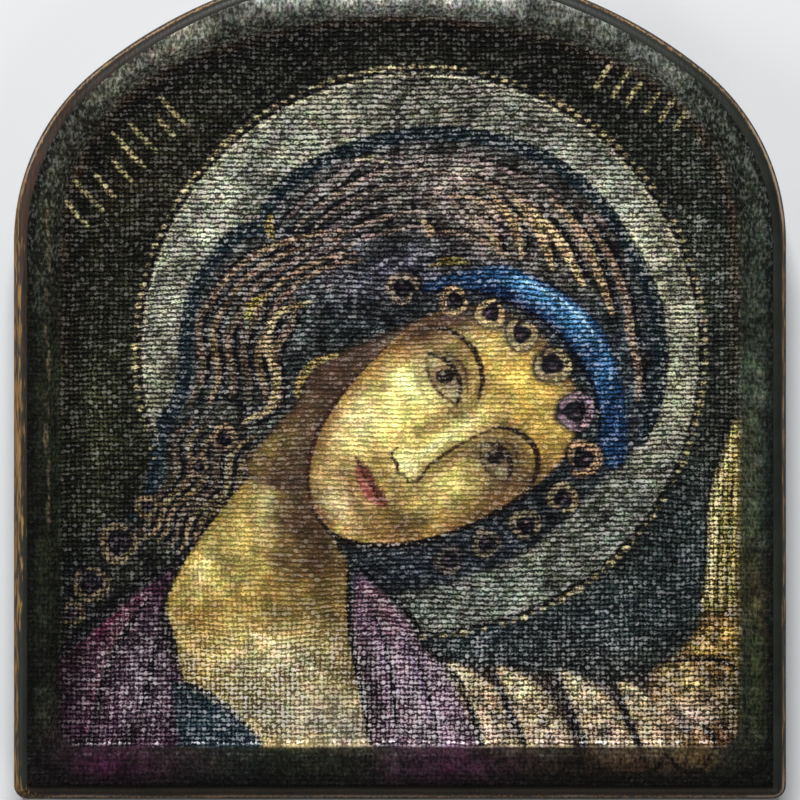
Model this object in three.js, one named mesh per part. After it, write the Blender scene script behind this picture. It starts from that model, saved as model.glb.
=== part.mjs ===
// Small icon panel: an arched wooden board with a shallow recess cut in its face, and the linen,
// primed and painted, that is glued down over the recess and its rim.
//
// Millimetres, +Z up. The panel lies on its back with the painted face up and the arch towards +Y.
// The origin is the centre of the back. Both outlines are three-centred arches on one springing line.

import * as THREE from "three";
import { mergeVertices } from "three/addons/utils/BufferGeometryUtils.js";

// Board
const boardWidth = 120;
const boardHeight = 130; // from the straight foot to the top of the arch
const boardThickness = 14.4;
const archRise = 43.4; // from the springing line up to the top of the arch
const shoulderAngle = 51; // degrees that each shoulder arc turns before the crown arc takes over
const cornerRadius = 2.2; // the two corners of the foot, seen from the front
const frontRounding = 2; // the worn front edge, in section
const backEasing = 0.8; // the cut edge of the back, in section

// Recess: a sloped cut all round, down to a flat floor
const sideRim = 5.95;
const topRim = 6.9;
const footRim = 6.6;
const recessShoulderAngle = 66;
const recessCornerRadius = 4;
const recessDepth = 1.6;
const slopeRun = 1.2; // how far the slope reaches in plan
const lipRounding = 0.8; // the soft edge between rim and slope, in section

// Linen with its ground and paint
const glueThickness = 0.05;
const linenThickness = 0.55;
const linenMargin = 2.2; // bare wood left between the linen and the board's edge
const linenEdgeEasing = 0.25;

// Fineness of the facets
const crownSteps = 32;
const shoulderSteps = 16;
const cornerSteps = 6;
const roundingSteps = 5;
const lipSteps = 3;

const springingHeight = boardHeight - archRise;

// Points of a circular arc about (x, y), from one angle to another, both ends included.
function arcPoints(x, y, radius, fromAngle, toAngle, steps) {
  const points = [];
  for (let step = 0; step <= steps; step++) {
    const angle = THREE.MathUtils.lerp(fromAngle, toAngle, step / steps);
    points.push(new THREE.Vector2(x + radius * Math.cos(angle), y + radius * Math.sin(angle)));
  }
  return points;
}

// A three-centred arch on straight sides, counterclockwise from the right foot corner. It is
// taken in by `inset` all round. Each shoulder arc meets the side and the crown arc smoothly,
// which fixes both radii once the half width, the rise and the shoulder's turn are known.
function archOutline({ halfWidth, foot, rise, turn, corner }, inset) {
  const turnAngle = THREE.MathUtils.degToRad(turn);
  const betweenCentres = (halfWidth - rise) / (Math.sin(turnAngle) + Math.cos(turnAngle) - 1);
  const shoulderX = betweenCentres * Math.cos(turnAngle);
  const crownY = springingHeight - betweenCentres * Math.sin(turnAngle);
  const shoulderRadius = halfWidth - shoulderX - inset;
  const crownRadius = shoulderRadius + betweenCentres;
  const side = halfWidth - inset;
  const bottom = foot + inset;
  const round = Math.max(corner - inset, 0.1 * corner);
  const quarter = Math.PI / 2;
  const cornerX = side - round;
  const cornerY = bottom + round;
  return [
    ...arcPoints(cornerX, cornerY, round, -quarter, 0, cornerSteps),
    ...arcPoints(shoulderX, springingHeight, shoulderRadius, 0, turnAngle, shoulderSteps),
    ...arcPoints(0, crownY, crownRadius, turnAngle, Math.PI - turnAngle, crownSteps).slice(1, -1),
    ...arcPoints(-shoulderX, springingHeight, shoulderRadius, Math.PI - turnAngle, Math.PI, shoulderSteps),
    ...arcPoints(-cornerX, cornerY, round, Math.PI, Math.PI + quarter, cornerSteps),
  ];
}

const boardShape = {
  halfWidth: boardWidth / 2,
  foot: 0,
  rise: archRise,
  turn: shoulderAngle,
  corner: cornerRadius,
};

const recessShape = {
  halfWidth: boardWidth / 2 - sideRim,
  foot: footRim,
  rise: archRise - topRim,
  turn: recessShoulderAngle,
  corner: recessCornerRadius,
};

// The board's edge, `inset` inwards from its outline.
function boardRing(inset, height) {
  return { outline: archOutline(boardShape, inset), height };
}

// The recess from rim to floor, as rings that stand `above` the wood, measured square to it.
function recessRings(above) {
  const slope = Math.atan2(recessDepth, slopeRun);
  const halfTurn = Math.tan(slope / 2);
  const rings = [];
  for (let step = 0; step <= lipSteps; step++) {
    const angle = (slope * step) / lipSteps;
    const inset = (lipRounding + above) * Math.sin(angle) - lipRounding * halfTurn;
    const height = boardThickness - lipRounding + (lipRounding + above) * Math.cos(angle);
    rings.push({ outline: archOutline(recessShape, inset), height });
  }
  const floorInset = slopeRun + above * halfTurn;
  const floorHeight = boardThickness - recessDepth + above;
  rings.push({ outline: archOutline(recessShape, floorInset), height: floorHeight });
  return rings;
}

// A closed solid skinned over rings of equal length. The first ring is capped facing down and the
// last facing up, and the panel's middle is brought to the origin.
function solidOverRings(rings) {
  const positions = [];
  const faces = [];
  const count = rings[0].outline.length;
  for (const { outline, height } of rings) {
    for (const point of outline) {
      positions.push(point.x, point.y - boardHeight / 2, height);
    }
  }
  for (let ring = 0; ring < rings.length - 1; ring++) {
    for (let point = 0; point < count; point++) {
      const next = (point + 1) % count;
      const here = ring * count;
      const there = here + count;
      faces.push(here + point, here + next, there + next);
      faces.push(here + point, there + next, there + point);
    }
  }
  const last = (rings.length - 1) * count;
  for (const [a, b, c] of THREE.ShapeUtils.triangulateShape(rings[0].outline, [])) {
    faces.push(c, b, a);
  }
  for (const [a, b, c] of THREE.ShapeUtils.triangulateShape(rings.at(-1).outline, [])) {
    faces.push(last + a, last + b, last + c);
  }
  const geometry = new THREE.BufferGeometry();
  geometry.setAttribute("position", new THREE.Float32BufferAttribute(positions, 3));
  geometry.setIndex(faces);
  const merged = mergeVertices(geometry);
  merged.computeVertexNormals();
  return merged;
}

function woodBoard() {
  const rings = [boardRing(backEasing, 0), boardRing(0, backEasing)];
  for (let step = 0; step <= roundingSteps; step++) {
    const angle = ((Math.PI / 2) * step) / roundingSteps;
    const inset = frontRounding * (1 - Math.cos(angle));
    rings.push(boardRing(inset, boardThickness - frontRounding * (1 - Math.sin(angle))));
  }
  return solidOverRings([...rings, ...recessRings(0)]);
}

function paintedCanvas() {
  const under = boardThickness + glueThickness;
  const upper = under + linenThickness;
  const edge = [
    boardRing(linenMargin, under),
    boardRing(linenMargin, upper - linenEdgeEasing),
    boardRing(linenMargin + linenEdgeEasing, upper),
  ];
  const underside = recessRings(glueThickness).reverse();
  return solidOverRings([...underside, ...edge, ...recessRings(glueThickness + linenThickness)]);
}

const darkStainedWood = new THREE.MeshStandardMaterial({
  color: 0x2e2a22,
  roughness: 0.45,
  metalness: 0,
});

const varnishedPaint = new THREE.MeshStandardMaterial({
  color: 0x5a563e,
  roughness: 0.4,
  metalness: 0,
});

const panel = new THREE.Group();
panel.name = "icon_panel";

const board = new THREE.Mesh(woodBoard(), darkStainedWood);
board.name = "wood_board";
panel.add(board);

const canvas = new THREE.Mesh(paintedCanvas(), varnishedPaint);
canvas.name = "painted_canvas";
panel.add(canvas);

export default panel;
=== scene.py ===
# %% [markdown]
# # A small painted icon panel
#
# The real thing is an arched lime-wood board with a shallow recess cut in its face. Fine linen is
# glued over the recess and its rim, and the picture is painted on the linen and varnished. This
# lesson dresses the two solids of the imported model: the board and the linen. Lengths are in metres,
# but the picture is painted in mm. +Z points out of the painted face and +Y to the top of the arch.

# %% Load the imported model
import math

import bpy
import numpy as np
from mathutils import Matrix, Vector, noise


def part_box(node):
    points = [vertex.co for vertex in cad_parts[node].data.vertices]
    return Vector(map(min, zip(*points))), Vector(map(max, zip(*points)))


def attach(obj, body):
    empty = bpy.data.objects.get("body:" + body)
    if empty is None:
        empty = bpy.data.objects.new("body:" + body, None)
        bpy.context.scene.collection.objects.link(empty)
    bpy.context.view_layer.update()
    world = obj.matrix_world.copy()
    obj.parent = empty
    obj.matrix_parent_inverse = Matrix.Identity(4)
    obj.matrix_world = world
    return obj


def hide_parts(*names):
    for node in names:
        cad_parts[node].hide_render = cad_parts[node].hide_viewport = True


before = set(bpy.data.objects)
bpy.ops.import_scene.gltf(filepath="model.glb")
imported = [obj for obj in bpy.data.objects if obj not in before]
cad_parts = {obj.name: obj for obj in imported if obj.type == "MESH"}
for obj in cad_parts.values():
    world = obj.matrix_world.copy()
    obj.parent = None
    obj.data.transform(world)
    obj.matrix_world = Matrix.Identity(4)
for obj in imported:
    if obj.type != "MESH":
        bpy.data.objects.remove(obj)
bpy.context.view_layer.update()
board_low, board_high = (np.array(corner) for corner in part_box("wood_board"))
linen_low, linen_high = (np.array(corner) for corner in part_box("painted_canvas"))
print("board", board_low, board_high)
print("linen", linen_low, linen_high)

# %% [markdown]
# ## Sizes
#
# The boxes of the two solids give the width, the height and the levels. What a box can't tell, such
# as how the arch turns, is named here once. Both outlines are three-centred arches on one springing
# line: a shoulder arc on each side and a flatter crown arc that meets them smoothly.

# %% Sizes of the board and of the recess
MM = 0.001
HALF_WIDTH = board_high[0]
FOOT = board_low[1]
TOP = board_high[1]
BOARD_FACE = board_high[2]
LINEN_FACE = linen_high[2]

ARCH_RISE = 43.4 * MM
SPRINGING = TOP - ARCH_RISE
SHOULDER_TURN = math.radians(51)
BOARD_CORNER = 2.2 * MM
FRONT_ROUNDING = 2.0 * MM
BACK_EASING = 0.8 * MM

SIDE_RIM = 5.95 * MM
TOP_RIM = 6.9 * MM
FOOT_RIM = 6.6 * MM
RECESS_TURN = math.radians(66)
RECESS_CORNER = 4.0 * MM
RECESS_DEPTH = 1.6 * MM
SLOPE_RUN = 1.2 * MM
LIP_ROUNDING = 0.8 * MM

LINEN_MARGIN = HALF_WIDTH - linen_high[0]
LINEN_THICKNESS = 0.55 * MM
GLUE = LINEN_FACE - LINEN_THICKNESS - BOARD_FACE
print(f"springing line at {SPRINGING / MM:.1f} mm, linen {LINEN_MARGIN / MM:.2f} mm inside the edge")

# %% The arch outline, as evenly spaced points
ARC_STEPS = 120
CROWN_STEPS = 400
UPPER_SHARE = 0.62  # where the side ends on a shoulder arc and the top begins
ACROSS, UPWARD = 264, 288


def arc(x, y, radius, start, end, steps=ARC_STEPS):
    """Points of a circular arc."""
    angle = np.linspace(start, end, steps)
    return np.column_stack([x + radius * np.cos(angle), y + radius * np.sin(angle)])


def spaced(path, count, with_end=False):
    """`count` points at equal steps along a path. Its last point is left out unless asked for."""
    length = np.concatenate([[0], np.cumsum(np.hypot(*np.diff(path, axis=0).T))])
    wanted = np.linspace(0, length[-1], count, endpoint=with_end)
    return np.column_stack([np.interp(wanted, length, path[:, axis]) for axis in (0, 1)])


def arch_sides(shape, inset):
    """The outline taken in by `inset`, as four runs: foot, right side, arch and left side."""
    half_width, foot, rise, turn, corner = shape
    between = (half_width - rise) / (math.sin(turn) + math.cos(turn) - 1)
    shoulder_x = between * math.cos(turn)
    crown_y = SPRINGING - between * math.sin(turn)
    shoulder = half_width - shoulder_x - inset
    crown = shoulder + between
    round_corner = max(corner - inset, 0.1 * corner)
    corner_x = half_width - inset - round_corner
    corner_y = foot + inset + round_corner
    half_turn, eighth = math.pi, math.pi / 4
    upper_turn = UPPER_SHARE * turn
    right_corner = arc(corner_x, corner_y, round_corner, -2 * eighth, 0)
    foot_run = np.vstack([
        arc(-corner_x, corner_y, round_corner, half_turn + eighth, half_turn + 2 * eighth),
        right_corner[:ARC_STEPS // 2],
    ])
    right_run = np.vstack([
        right_corner[ARC_STEPS // 2:],
        arc(shoulder_x, SPRINGING, shoulder, 0, upper_turn),
    ])
    arch_run = np.vstack([
        arc(shoulder_x, SPRINGING, shoulder, upper_turn, turn),
        arc(0, crown_y, crown, turn, half_turn - turn, CROWN_STEPS),
        arc(-shoulder_x, SPRINGING, shoulder, half_turn - turn, half_turn - upper_turn),
    ])
    left_run = np.vstack([
        arc(-shoulder_x, SPRINGING, shoulder, half_turn - upper_turn, half_turn),
        arc(-corner_x, corner_y, round_corner, half_turn, half_turn + eighth),
    ])
    runs = [foot_run, right_run, arch_run, left_run]
    return [np.vstack([run, after[:1]]) for run, after in zip(runs, runs[1:] + runs[:1])]


def arch_outline(shape, inset):
    """The whole outline, counterclockwise from the left foot corner, ready for a grid inside it."""
    counts = (ACROSS, UPWARD, ACROSS, UPWARD)
    return np.vstack([spaced(run, count) for run, count in zip(arch_sides(shape, inset), counts)])


def ring(shape, inset, height):
    """An outline taken in by `inset`, as points in space at one height."""
    outline = arch_outline(shape, inset)
    return np.column_stack([outline, np.full(len(outline), height)])


BOARD_SHAPE = (HALF_WIDTH, FOOT, ARCH_RISE, SHOULDER_TURN, BOARD_CORNER)
RECESS_SHAPE = (HALF_WIDTH - SIDE_RIM, FOOT + FOOT_RIM, ARCH_RISE - TOP_RIM, RECESS_TURN, RECESS_CORNER)


def recess_rings(above, lip_steps):
    """From the lip down to the floor, `above` the wood, measured square to it."""
    slope = math.atan2(RECESS_DEPTH, SLOPE_RUN)
    half_turn = math.tan(slope / 2)
    rings = []
    for angle in np.linspace(0, slope, lip_steps):
        inset = (LIP_ROUNDING + above) * math.sin(angle) - LIP_ROUNDING * half_turn
        height = BOARD_FACE - LIP_ROUNDING + (LIP_ROUNDING + above) * math.cos(angle)
        rings.append(ring(RECESS_SHAPE, inset, height))
    rings.append(ring(RECESS_SHAPE, SLOPE_RUN + above * half_turn, BOARD_FACE - RECESS_DEPTH + above))
    return rings


print("outline points:", len(arch_outline(BOARD_SHAPE, 0)))

# %% [markdown]
# ## Floor, light and camera
#
# The panel lies on its back, so the camera looks straight down on it, from far enough away that its
# sides hide behind its face. A soft light stands beyond the top of the arch: it skims the threads, so
# that each one takes a small glint on its upper flank, as varnished canvas does.

# %% Floor, lights and camera
TABLE_SIZE = 3.0
VIEW_CENTRE = Vector((0, -3.0 * MM, LINEN_FACE))
VIEW_WIDTH = 123.9 * MM
CAMERA_HEIGHT = 0.75


def soft_light(name, place, size, energy):
    """A square area light that looks at the origin."""
    bpy.ops.object.light_add(type="AREA", location=place)
    light = bpy.context.object
    light.name = name
    light.data.size = size
    light.data.energy = energy
    light.rotation_euler = (-Vector(place)).to_track_quat("-Z", "Y").to_euler()


bpy.ops.object.select_all(action="DESELECT")
bpy.ops.mesh.primitive_plane_add(size=TABLE_SIZE, location=(0, 0, 0))
table = bpy.context.object
table.name = "table"
pale = bpy.data.materials.new("pale_table")
pale.use_nodes = True
pale.node_tree.nodes["Principled BSDF"].inputs["Base Color"].default_value = (0.66, 0.67, 0.68, 1)
pale.node_tree.nodes["Principled BSDF"].inputs["Roughness"].default_value = 0.8
table.data.materials.append(pale)

camera_data = bpy.data.cameras.new("camera")
camera = bpy.data.objects.new("camera", camera_data)
bpy.context.collection.objects.link(camera)
camera.location = VIEW_CENTRE + Vector((0, 0, CAMERA_HEIGHT))
camera_data.lens = camera_data.sensor_width * CAMERA_HEIGHT / VIEW_WIDTH
bpy.context.scene.camera = camera

soft_light("window", (-0.04, 0.80, 0.85), 0.34, 17)
soft_light("side_fill", (-0.9, 0.1, 0.6), 0.5, 3)
soft_light("foot_fill", (0.5, -0.9, 0.9), 0.5, 2)

world = bpy.data.worlds.new("studio")
world.use_nodes = True
world.node_tree.nodes["Background"].inputs["Color"].default_value = (1, 1, 1, 1)
world.node_tree.nodes["Background"].inputs["Strength"].default_value = 0.08
bpy.context.scene.world = world
bpy.context.scene.view_settings.view_transform = "Standard"
print("camera lens", round(camera_data.lens, 1))

# %% [markdown]
# ## Skinning a piece over rings
#
# Board and linen are both shapes whose outline steps inwards and changes height. A circle's edge is
# placed on the first outline, then extruded ring by ring, and each new ring is placed on the next
# outline. That keeps every ring level, which a bevel of the sharp edge wouldn't give with its wear.


# %% Skin over rings
def select_only(piece):
    """Make one piece the only selected and the active one."""
    bpy.ops.object.select_all(action="DESELECT")
    bpy.context.view_layer.objects.active = piece
    piece.select_set(True)


def place_points(piece, places):
    """Move the vertices of a piece."""
    piece.data.vertices.foreach_set("co", places.ravel())
    piece.data.update()


def skin_over_rings(name, rings):
    """A mesh object over rings of equal length, open at both ends."""
    bpy.ops.object.select_all(action="DESELECT")
    bpy.ops.mesh.primitive_circle_add(vertices=len(rings[0]), radius=HALF_WIDTH, fill_type="NOTHING")
    piece = bpy.context.object
    piece.name = piece.data.name = name
    place_points(piece, rings[0])
    bpy.ops.object.mode_set(mode="EDIT")
    bpy.ops.mesh.select_all(action="SELECT")
    for _ in rings[1:]:
        bpy.ops.mesh.extrude_region_move()
    bpy.ops.object.mode_set(mode="OBJECT")
    place_points(piece, np.vstack(rings))
    return piece


def close_ends(piece):
    """Close each open end with one face, and turn every face outwards."""
    select_only(piece)
    bpy.ops.object.mode_set(mode="EDIT")
    bpy.ops.mesh.select_all(action="DESELECT")
    bpy.ops.mesh.select_non_manifold()
    bpy.ops.mesh.fill_holes(sides=0)
    bpy.ops.mesh.select_all(action="SELECT")
    bpy.ops.mesh.normals_make_consistent(inside=False)
    bpy.ops.object.mode_set(mode="OBJECT")


def vectors_of(piece, field="co"):
    """The place of each vertex of a piece, or its normal."""
    values = np.empty(3 * len(piece.data.vertices))
    piece.data.vertices.foreach_get(field, values)
    return values.reshape(-1, 3)


def triangles_of(piece):
    """How many triangles a mesh has."""
    return sum(len(face.vertices) - 2 for face in piece.data.polygons)


# %% Shares that change over a surface
def ramp(value, low, high):
    """0 up to low, 1 from high on, and straight between."""
    return np.clip((value - low) / (high - low), 0, 1)


def step_between(low, high, value):
    """0 up to low, 1 from high on, and a soft step between."""
    share = ramp(value, low, high)
    return share * share * (3 - 2 * share)


def bell(value, middle, width):
    """1 at the middle, falling off softly on both sides."""
    return np.exp(-(((value - middle) / width) ** 2))


def lumps(places, size, seed):
    """Smooth noise at points in space, from -1 to 1, with lumps about `size` across."""
    shift = Vector((seed, 2.7 * seed, -1.3 * seed))
    return np.array([noise.noise(Vector(place) / size + shift) for place in places])


def keep_values(piece, name, values, kind="FLOAT", field="value"):
    """Store values on a piece's vertices for its material to read."""
    layer = piece.data.attributes.new(name, kind, "POINT")
    layer.data.foreach_set(field, np.asarray(values, np.float32).ravel())

# %% [markdown]
# ## The board
#
# The real board is planed, its front edge rounded over and rubbed by hands, with nicks where it was
# knocked. The solid's rounding has five steps, so this piece replaces it with a finer one whose edge
# is worn unevenly. The recess is kept, because the linen lies in it.

# %% Board
ROUNDING_STEPS = 12
SIDE_STEPS = 8
board_rings = []
for share in (1.0, 0.7, 0.3, 0.0):
    board_rings.append(ring(BOARD_SHAPE, BACK_EASING * share, BACK_EASING * (1 - share)))
for height in np.linspace(BACK_EASING, BOARD_FACE - FRONT_ROUNDING, SIDE_STEPS)[1:-1]:
    board_rings.append(ring(BOARD_SHAPE, 0, height))
for angle in np.linspace(0, math.pi / 2, ROUNDING_STEPS):
    height = BOARD_FACE - FRONT_ROUNDING * (1 - math.sin(angle))
    board_rings.append(ring(BOARD_SHAPE, FRONT_ROUNDING * (1 - math.cos(angle)), height))
outer_count = len(board_rings)
board_rings += recess_rings(0, lip_steps=4)
board = skin_over_rings("board", board_rings)
close_ends(board)
print("board triangles:", triangles_of(board))

# %% [markdown]
# Wear takes wood away at the front arris, unevenly and with a few nicks, most of them at the left
# corner of the foot. Points are moved in along their own normals, so the faces never fold over.

# %% Wear on the board's edge
ARRIS_DEPTH = 0.22 * MM
NICK_DEPTH = 0.5 * MM
ARRIS_LEVEL, ARRIS_WIDTH = -0.4, 0.17  # from the board's face, in roundings
CORNER_REACH = 4 * MM
places = vectors_of(board)
x, y, z = places.T
level = (z - BOARD_FACE) / FRONT_ROUNDING
on_outside = np.arange(len(places)) < outer_count * len(board_rings[0])
on_edge = on_outside * bell(level, ARRIS_LEVEL, ARRIS_WIDTH)
rub = 0.5 + 0.5 * lumps(places, 9 * MM, 1.0)
nicks = ramp(lumps(places, 2.2 * MM, 5.0), 0.35, 1)
at_left_corner = bell(np.hypot(x + HALF_WIDTH, y - FOOT), 0, CORNER_REACH)
taken = on_edge * (ARRIS_DEPTH * rub + NICK_DEPTH * nicks * (0.15 + at_left_corner))
place_points(board, places - vectors_of(board, "normal") * taken[:, None])
print(f"deepest wear {taken.max() / MM:.2f} mm")

# %% [markdown]
# Two masks say where the stain has gone. One is bare wood: the arris all round, and the left side,
# which a hand held. There a golden band runs down the front edge, and the side behind it is rubbed in
# patches. The other mask is stain worn thin and red-brown, at the left of the arch and along the foot.

# %% Masks of bare and thinly stained wood
BAND_START, BAND_END = 2.2 * MM, 0.7 * MM  # from the board's left edge
on_rounding = on_outside * ramp(level, -1.6, -0.6)
behind_arris = on_outside * ramp(level, -0.2, -0.45) * ramp(level, -2.5, -1.5)
held = (x < 0) * bell(y, -3 * MM, 18 * MM)
left_side = (x < -0.9 * HALF_WIDTH) * ramp(y, 40 * MM, 25 * MM)
right_side = x > 0.9 * HALF_WIDTH
left_arch = (x < 0) * bell(y, 32 * MM, 20 * MM)
up_arch = ramp(y, SPRINGING, SPRINGING + 5 * MM)
along_foot = bell(y, FOOT, 2.2 * MM)
golden_band = ramp(x + HALF_WIDTH, BAND_START, BAND_END) * ramp(y, 28 * MM, 20 * MM)
golden_band *= np.maximum(ramp(y, -52 * MM, -32 * MM), 0.5)
bare_share = on_edge * (0.35 + 0.5 * rub + 0.4 * along_foot + 0.4 * up_arch + 0.3 * right_side)
bare_share += behind_arris * left_side * (0.55 + 0.3 * held)
bare_share += on_rounding * (0.25 * held + 0.5 * at_left_corner + 0.66 * golden_band)
bare_share = np.clip(bare_share, 0, 1.2 - 0.45 * left_side)
brown_share = np.clip(on_rounding * (left_arch + 0.6 * along_foot + 0.5 * held), 0, 1)
keep_values(board, "bare", bare_share)
keep_values(board, "brown", brown_share)
print(f"mean bare share {bare_share.mean():.3f}")

# %% [markdown]
# ## The linen
#
# The linen is one skin. Its floor is a grid bent to the arch, fine enough to carry the painting on
# its points, and rings run from the floor's edge up the slope, over the rim, down the cut edge and
# back underneath. A plane subdivided evenly would do for the floor, but its rows wouldn't meet the
# arch, so the grid's points are blended from the four sides of the outline. Glue, size and ground
# round the slope off, so the skin runs down it in a soft S and bridges its foot.

# %% The rings and the floor grid of the linen
RIM_STEPS = 9
SLOPE_STEPS = 7
SLOPE_START, SLOPE_END = -0.9 * MM, 2.3 * MM  # insets from the recess outline
FOOT_LIFT = 0.7 * MM
SKIN_SHAPE = (HALF_WIDTH - SIDE_RIM, FOOT + FOOT_RIM + FOOT_LIFT, *RECESS_SHAPE[2:])
# How far the cut edge's rings lie inside the linen's edge, and how far below its face
CUT_EDGE = ((0.06 * MM, 0.08 * MM), (0, 0.25 * MM), (0, LINEN_THICKNESS))


def grid_inside(outline):
    """Points of a grid, blended from the four runs of its outline, foot first."""
    ends = np.cumsum([0, ACROSS, UPWARD, ACROSS, UPWARD])
    whole = np.vstack([outline, outline[:1]])
    foot_run, right_run, arch_run, left_run = (whole[start:end + 1] for start, end in zip(ends, ends[1:]))
    s = np.linspace(0, 1, ACROSS + 1)[None, :, None]
    t = np.linspace(0, 1, UPWARD + 1)[:, None, None]
    foot_row, arch_row = foot_run[None, :], arch_run[::-1][None, :]
    left_column, right_column = left_run[::-1][:, None], right_run[:, None]
    sides = left_column * (1 - s) + right_column * s + foot_row * (1 - t) + arch_row * t
    low_corners = foot_run[0] * (1 - s) + foot_run[-1] * s
    high_corners = arch_run[-1] * (1 - s) + arch_run[0] * s
    return sides - low_corners * (1 - t) - high_corners * t


linen_rings = []
for inset in np.linspace(SLOPE_END, SLOPE_START, SLOPE_STEPS):
    drop = RECESS_DEPTH * step_between(SLOPE_START, SLOPE_END, inset)
    linen_rings.append(ring(SKIN_SHAPE, inset, LINEN_FACE - drop))
lip = linen_rings[-1]
linen_edge = ring(BOARD_SHAPE, LINEN_MARGIN + 0.25 * MM, LINEN_FACE)
for step in range(1, RIM_STEPS + 1):
    linen_rings.append(lip + (linen_edge - lip) * step / RIM_STEPS)
for inset, below in CUT_EDGE:
    linen_rings.append(ring(BOARD_SHAPE, LINEN_MARGIN + inset, LINEN_FACE - below))
linen_rings += recess_rings(GLUE, lip_steps=2)
linen = skin_over_rings("linen_skin", linen_rings)

bpy.ops.object.select_all(action="DESELECT")
bpy.ops.mesh.primitive_grid_add(x_subdivisions=ACROSS, y_subdivisions=UPWARD, size=2 * HALF_WIDTH)
linen_floor = bpy.context.object
floor_level = linen_rings[0][0, 2]
floor_points = grid_inside(linen_rings[0][:, :2])
floor_points = np.dstack([floor_points, np.full(floor_points.shape[:2], floor_level)])
place_points(linen_floor, floor_points)
print("rings and floor points of the linen:", len(linen_rings), floor_points[..., 0].size)

# %% Floor and rings joined into one closed skin
MERGE_GAP = 0.02 * MM
linen.select_set(True)
bpy.context.view_layer.objects.active = linen
bpy.ops.object.join()
bpy.ops.object.mode_set(mode="EDIT")
bpy.ops.mesh.select_all(action="SELECT")
bpy.ops.mesh.remove_doubles(threshold=MERGE_GAP)
bpy.ops.object.mode_set(mode="OBJECT")
close_ends(linen)
print("linen points and triangles:", len(linen.data.vertices), triangles_of(linen))

# %% [markdown]
# The glued linen isn't quite flat: it bridges the foot of the slope, follows the saw marks below and
# is lumpy on the rim, where the ground was laid on thick. Noise at two sizes, with a share for each
# part of the skin, gives that without opening the mesh.

# %% Unevenness of the linen
FLOOR_WAVE = 0.05 * MM
RIM_LUMP = 0.09 * MM
HIGHEST_LUMP = 0.1 * MM
places = vectors_of(linen)
height = places[:, 2]
on_upper_side = height > floor_level - 0.1 * MM
near_rim_level = ramp(height, LINEN_FACE - 0.3 * MM, LINEN_FACE)
wave = FLOOR_WAVE * lumps(places, 14 * MM, 2.0)
rough = RIM_LUMP * (0.6 * lumps(places, 1.7 * MM, 3.0) + 0.4 * lumps(places, 4 * MM, 4.0))
lift = np.where(on_upper_side, wave + rough * near_rim_level, 0)
lifted = places.copy()
lifted[:, 2] = np.minimum(height + lift, LINEN_FACE + HIGHEST_LUMP)
place_points(linen, lifted)
print(f"linen surface from {lifted[:, 2].min() / MM:.2f} to {lifted[:, 2].max() / MM:.2f} mm")

# %% [markdown]
# ## The painting
#
# The picture has to sit on the linen's own points, so it is painted by code in the order a panel
# painter works: dark ground, halo, hair, flesh, clothes, wing, then lines and lights. An image mapped
# on the face would be quicker, but this way each layer stays a value that the material can read, and
# the strokes stay sharp between the points.

# %% Painter's helpers
CLEAR = 50.0  # further than this from a stroke makes no difference, in mm


def paint_colour(code):
    """A colour written as hex digits, as three shares of display light."""
    return np.array([int(code[start:start + 2], 16) for start in (0, 2, 4)]) / 255


def smooth_path(points, closed=False, steps=8):
    """A smooth curve through a few points."""
    points = np.asarray(points, float)
    if closed:
        ends = np.vstack([points[-1], points, points[0], points[1]])
    else:
        ends = np.vstack([2 * points[0] - points[1], points, 2 * points[-1] - points[-2]])
    share = np.linspace(0, 1, steps, endpoint=False)[:, None]
    spans = []
    for a, b, c, d in zip(ends, ends[1:], ends[2:], ends[3:]):
        bend = (2 * a - 5 * b + 4 * c - d) * share**2 + (3 * b - a - 3 * c + d) * share**3
        spans.append(0.5 * (2 * b + (c - a) * share + bend))
    if not closed:
        spans.append(points[-1:])
    return np.vstack(spans)


def beside(path):
    """The unit step to the left of a path, at each of its points."""
    run = np.gradient(path, axis=0)
    return np.column_stack([-run[:, 1], run[:, 0]]) / np.hypot(*run.T)[:, None]

# %% The picture on the linen's points
MOTTLE_SPAN = 260  # the blotches cover this square, in mm, and the panel lies well inside it
MOTTLE_SHIFT = 120


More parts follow.
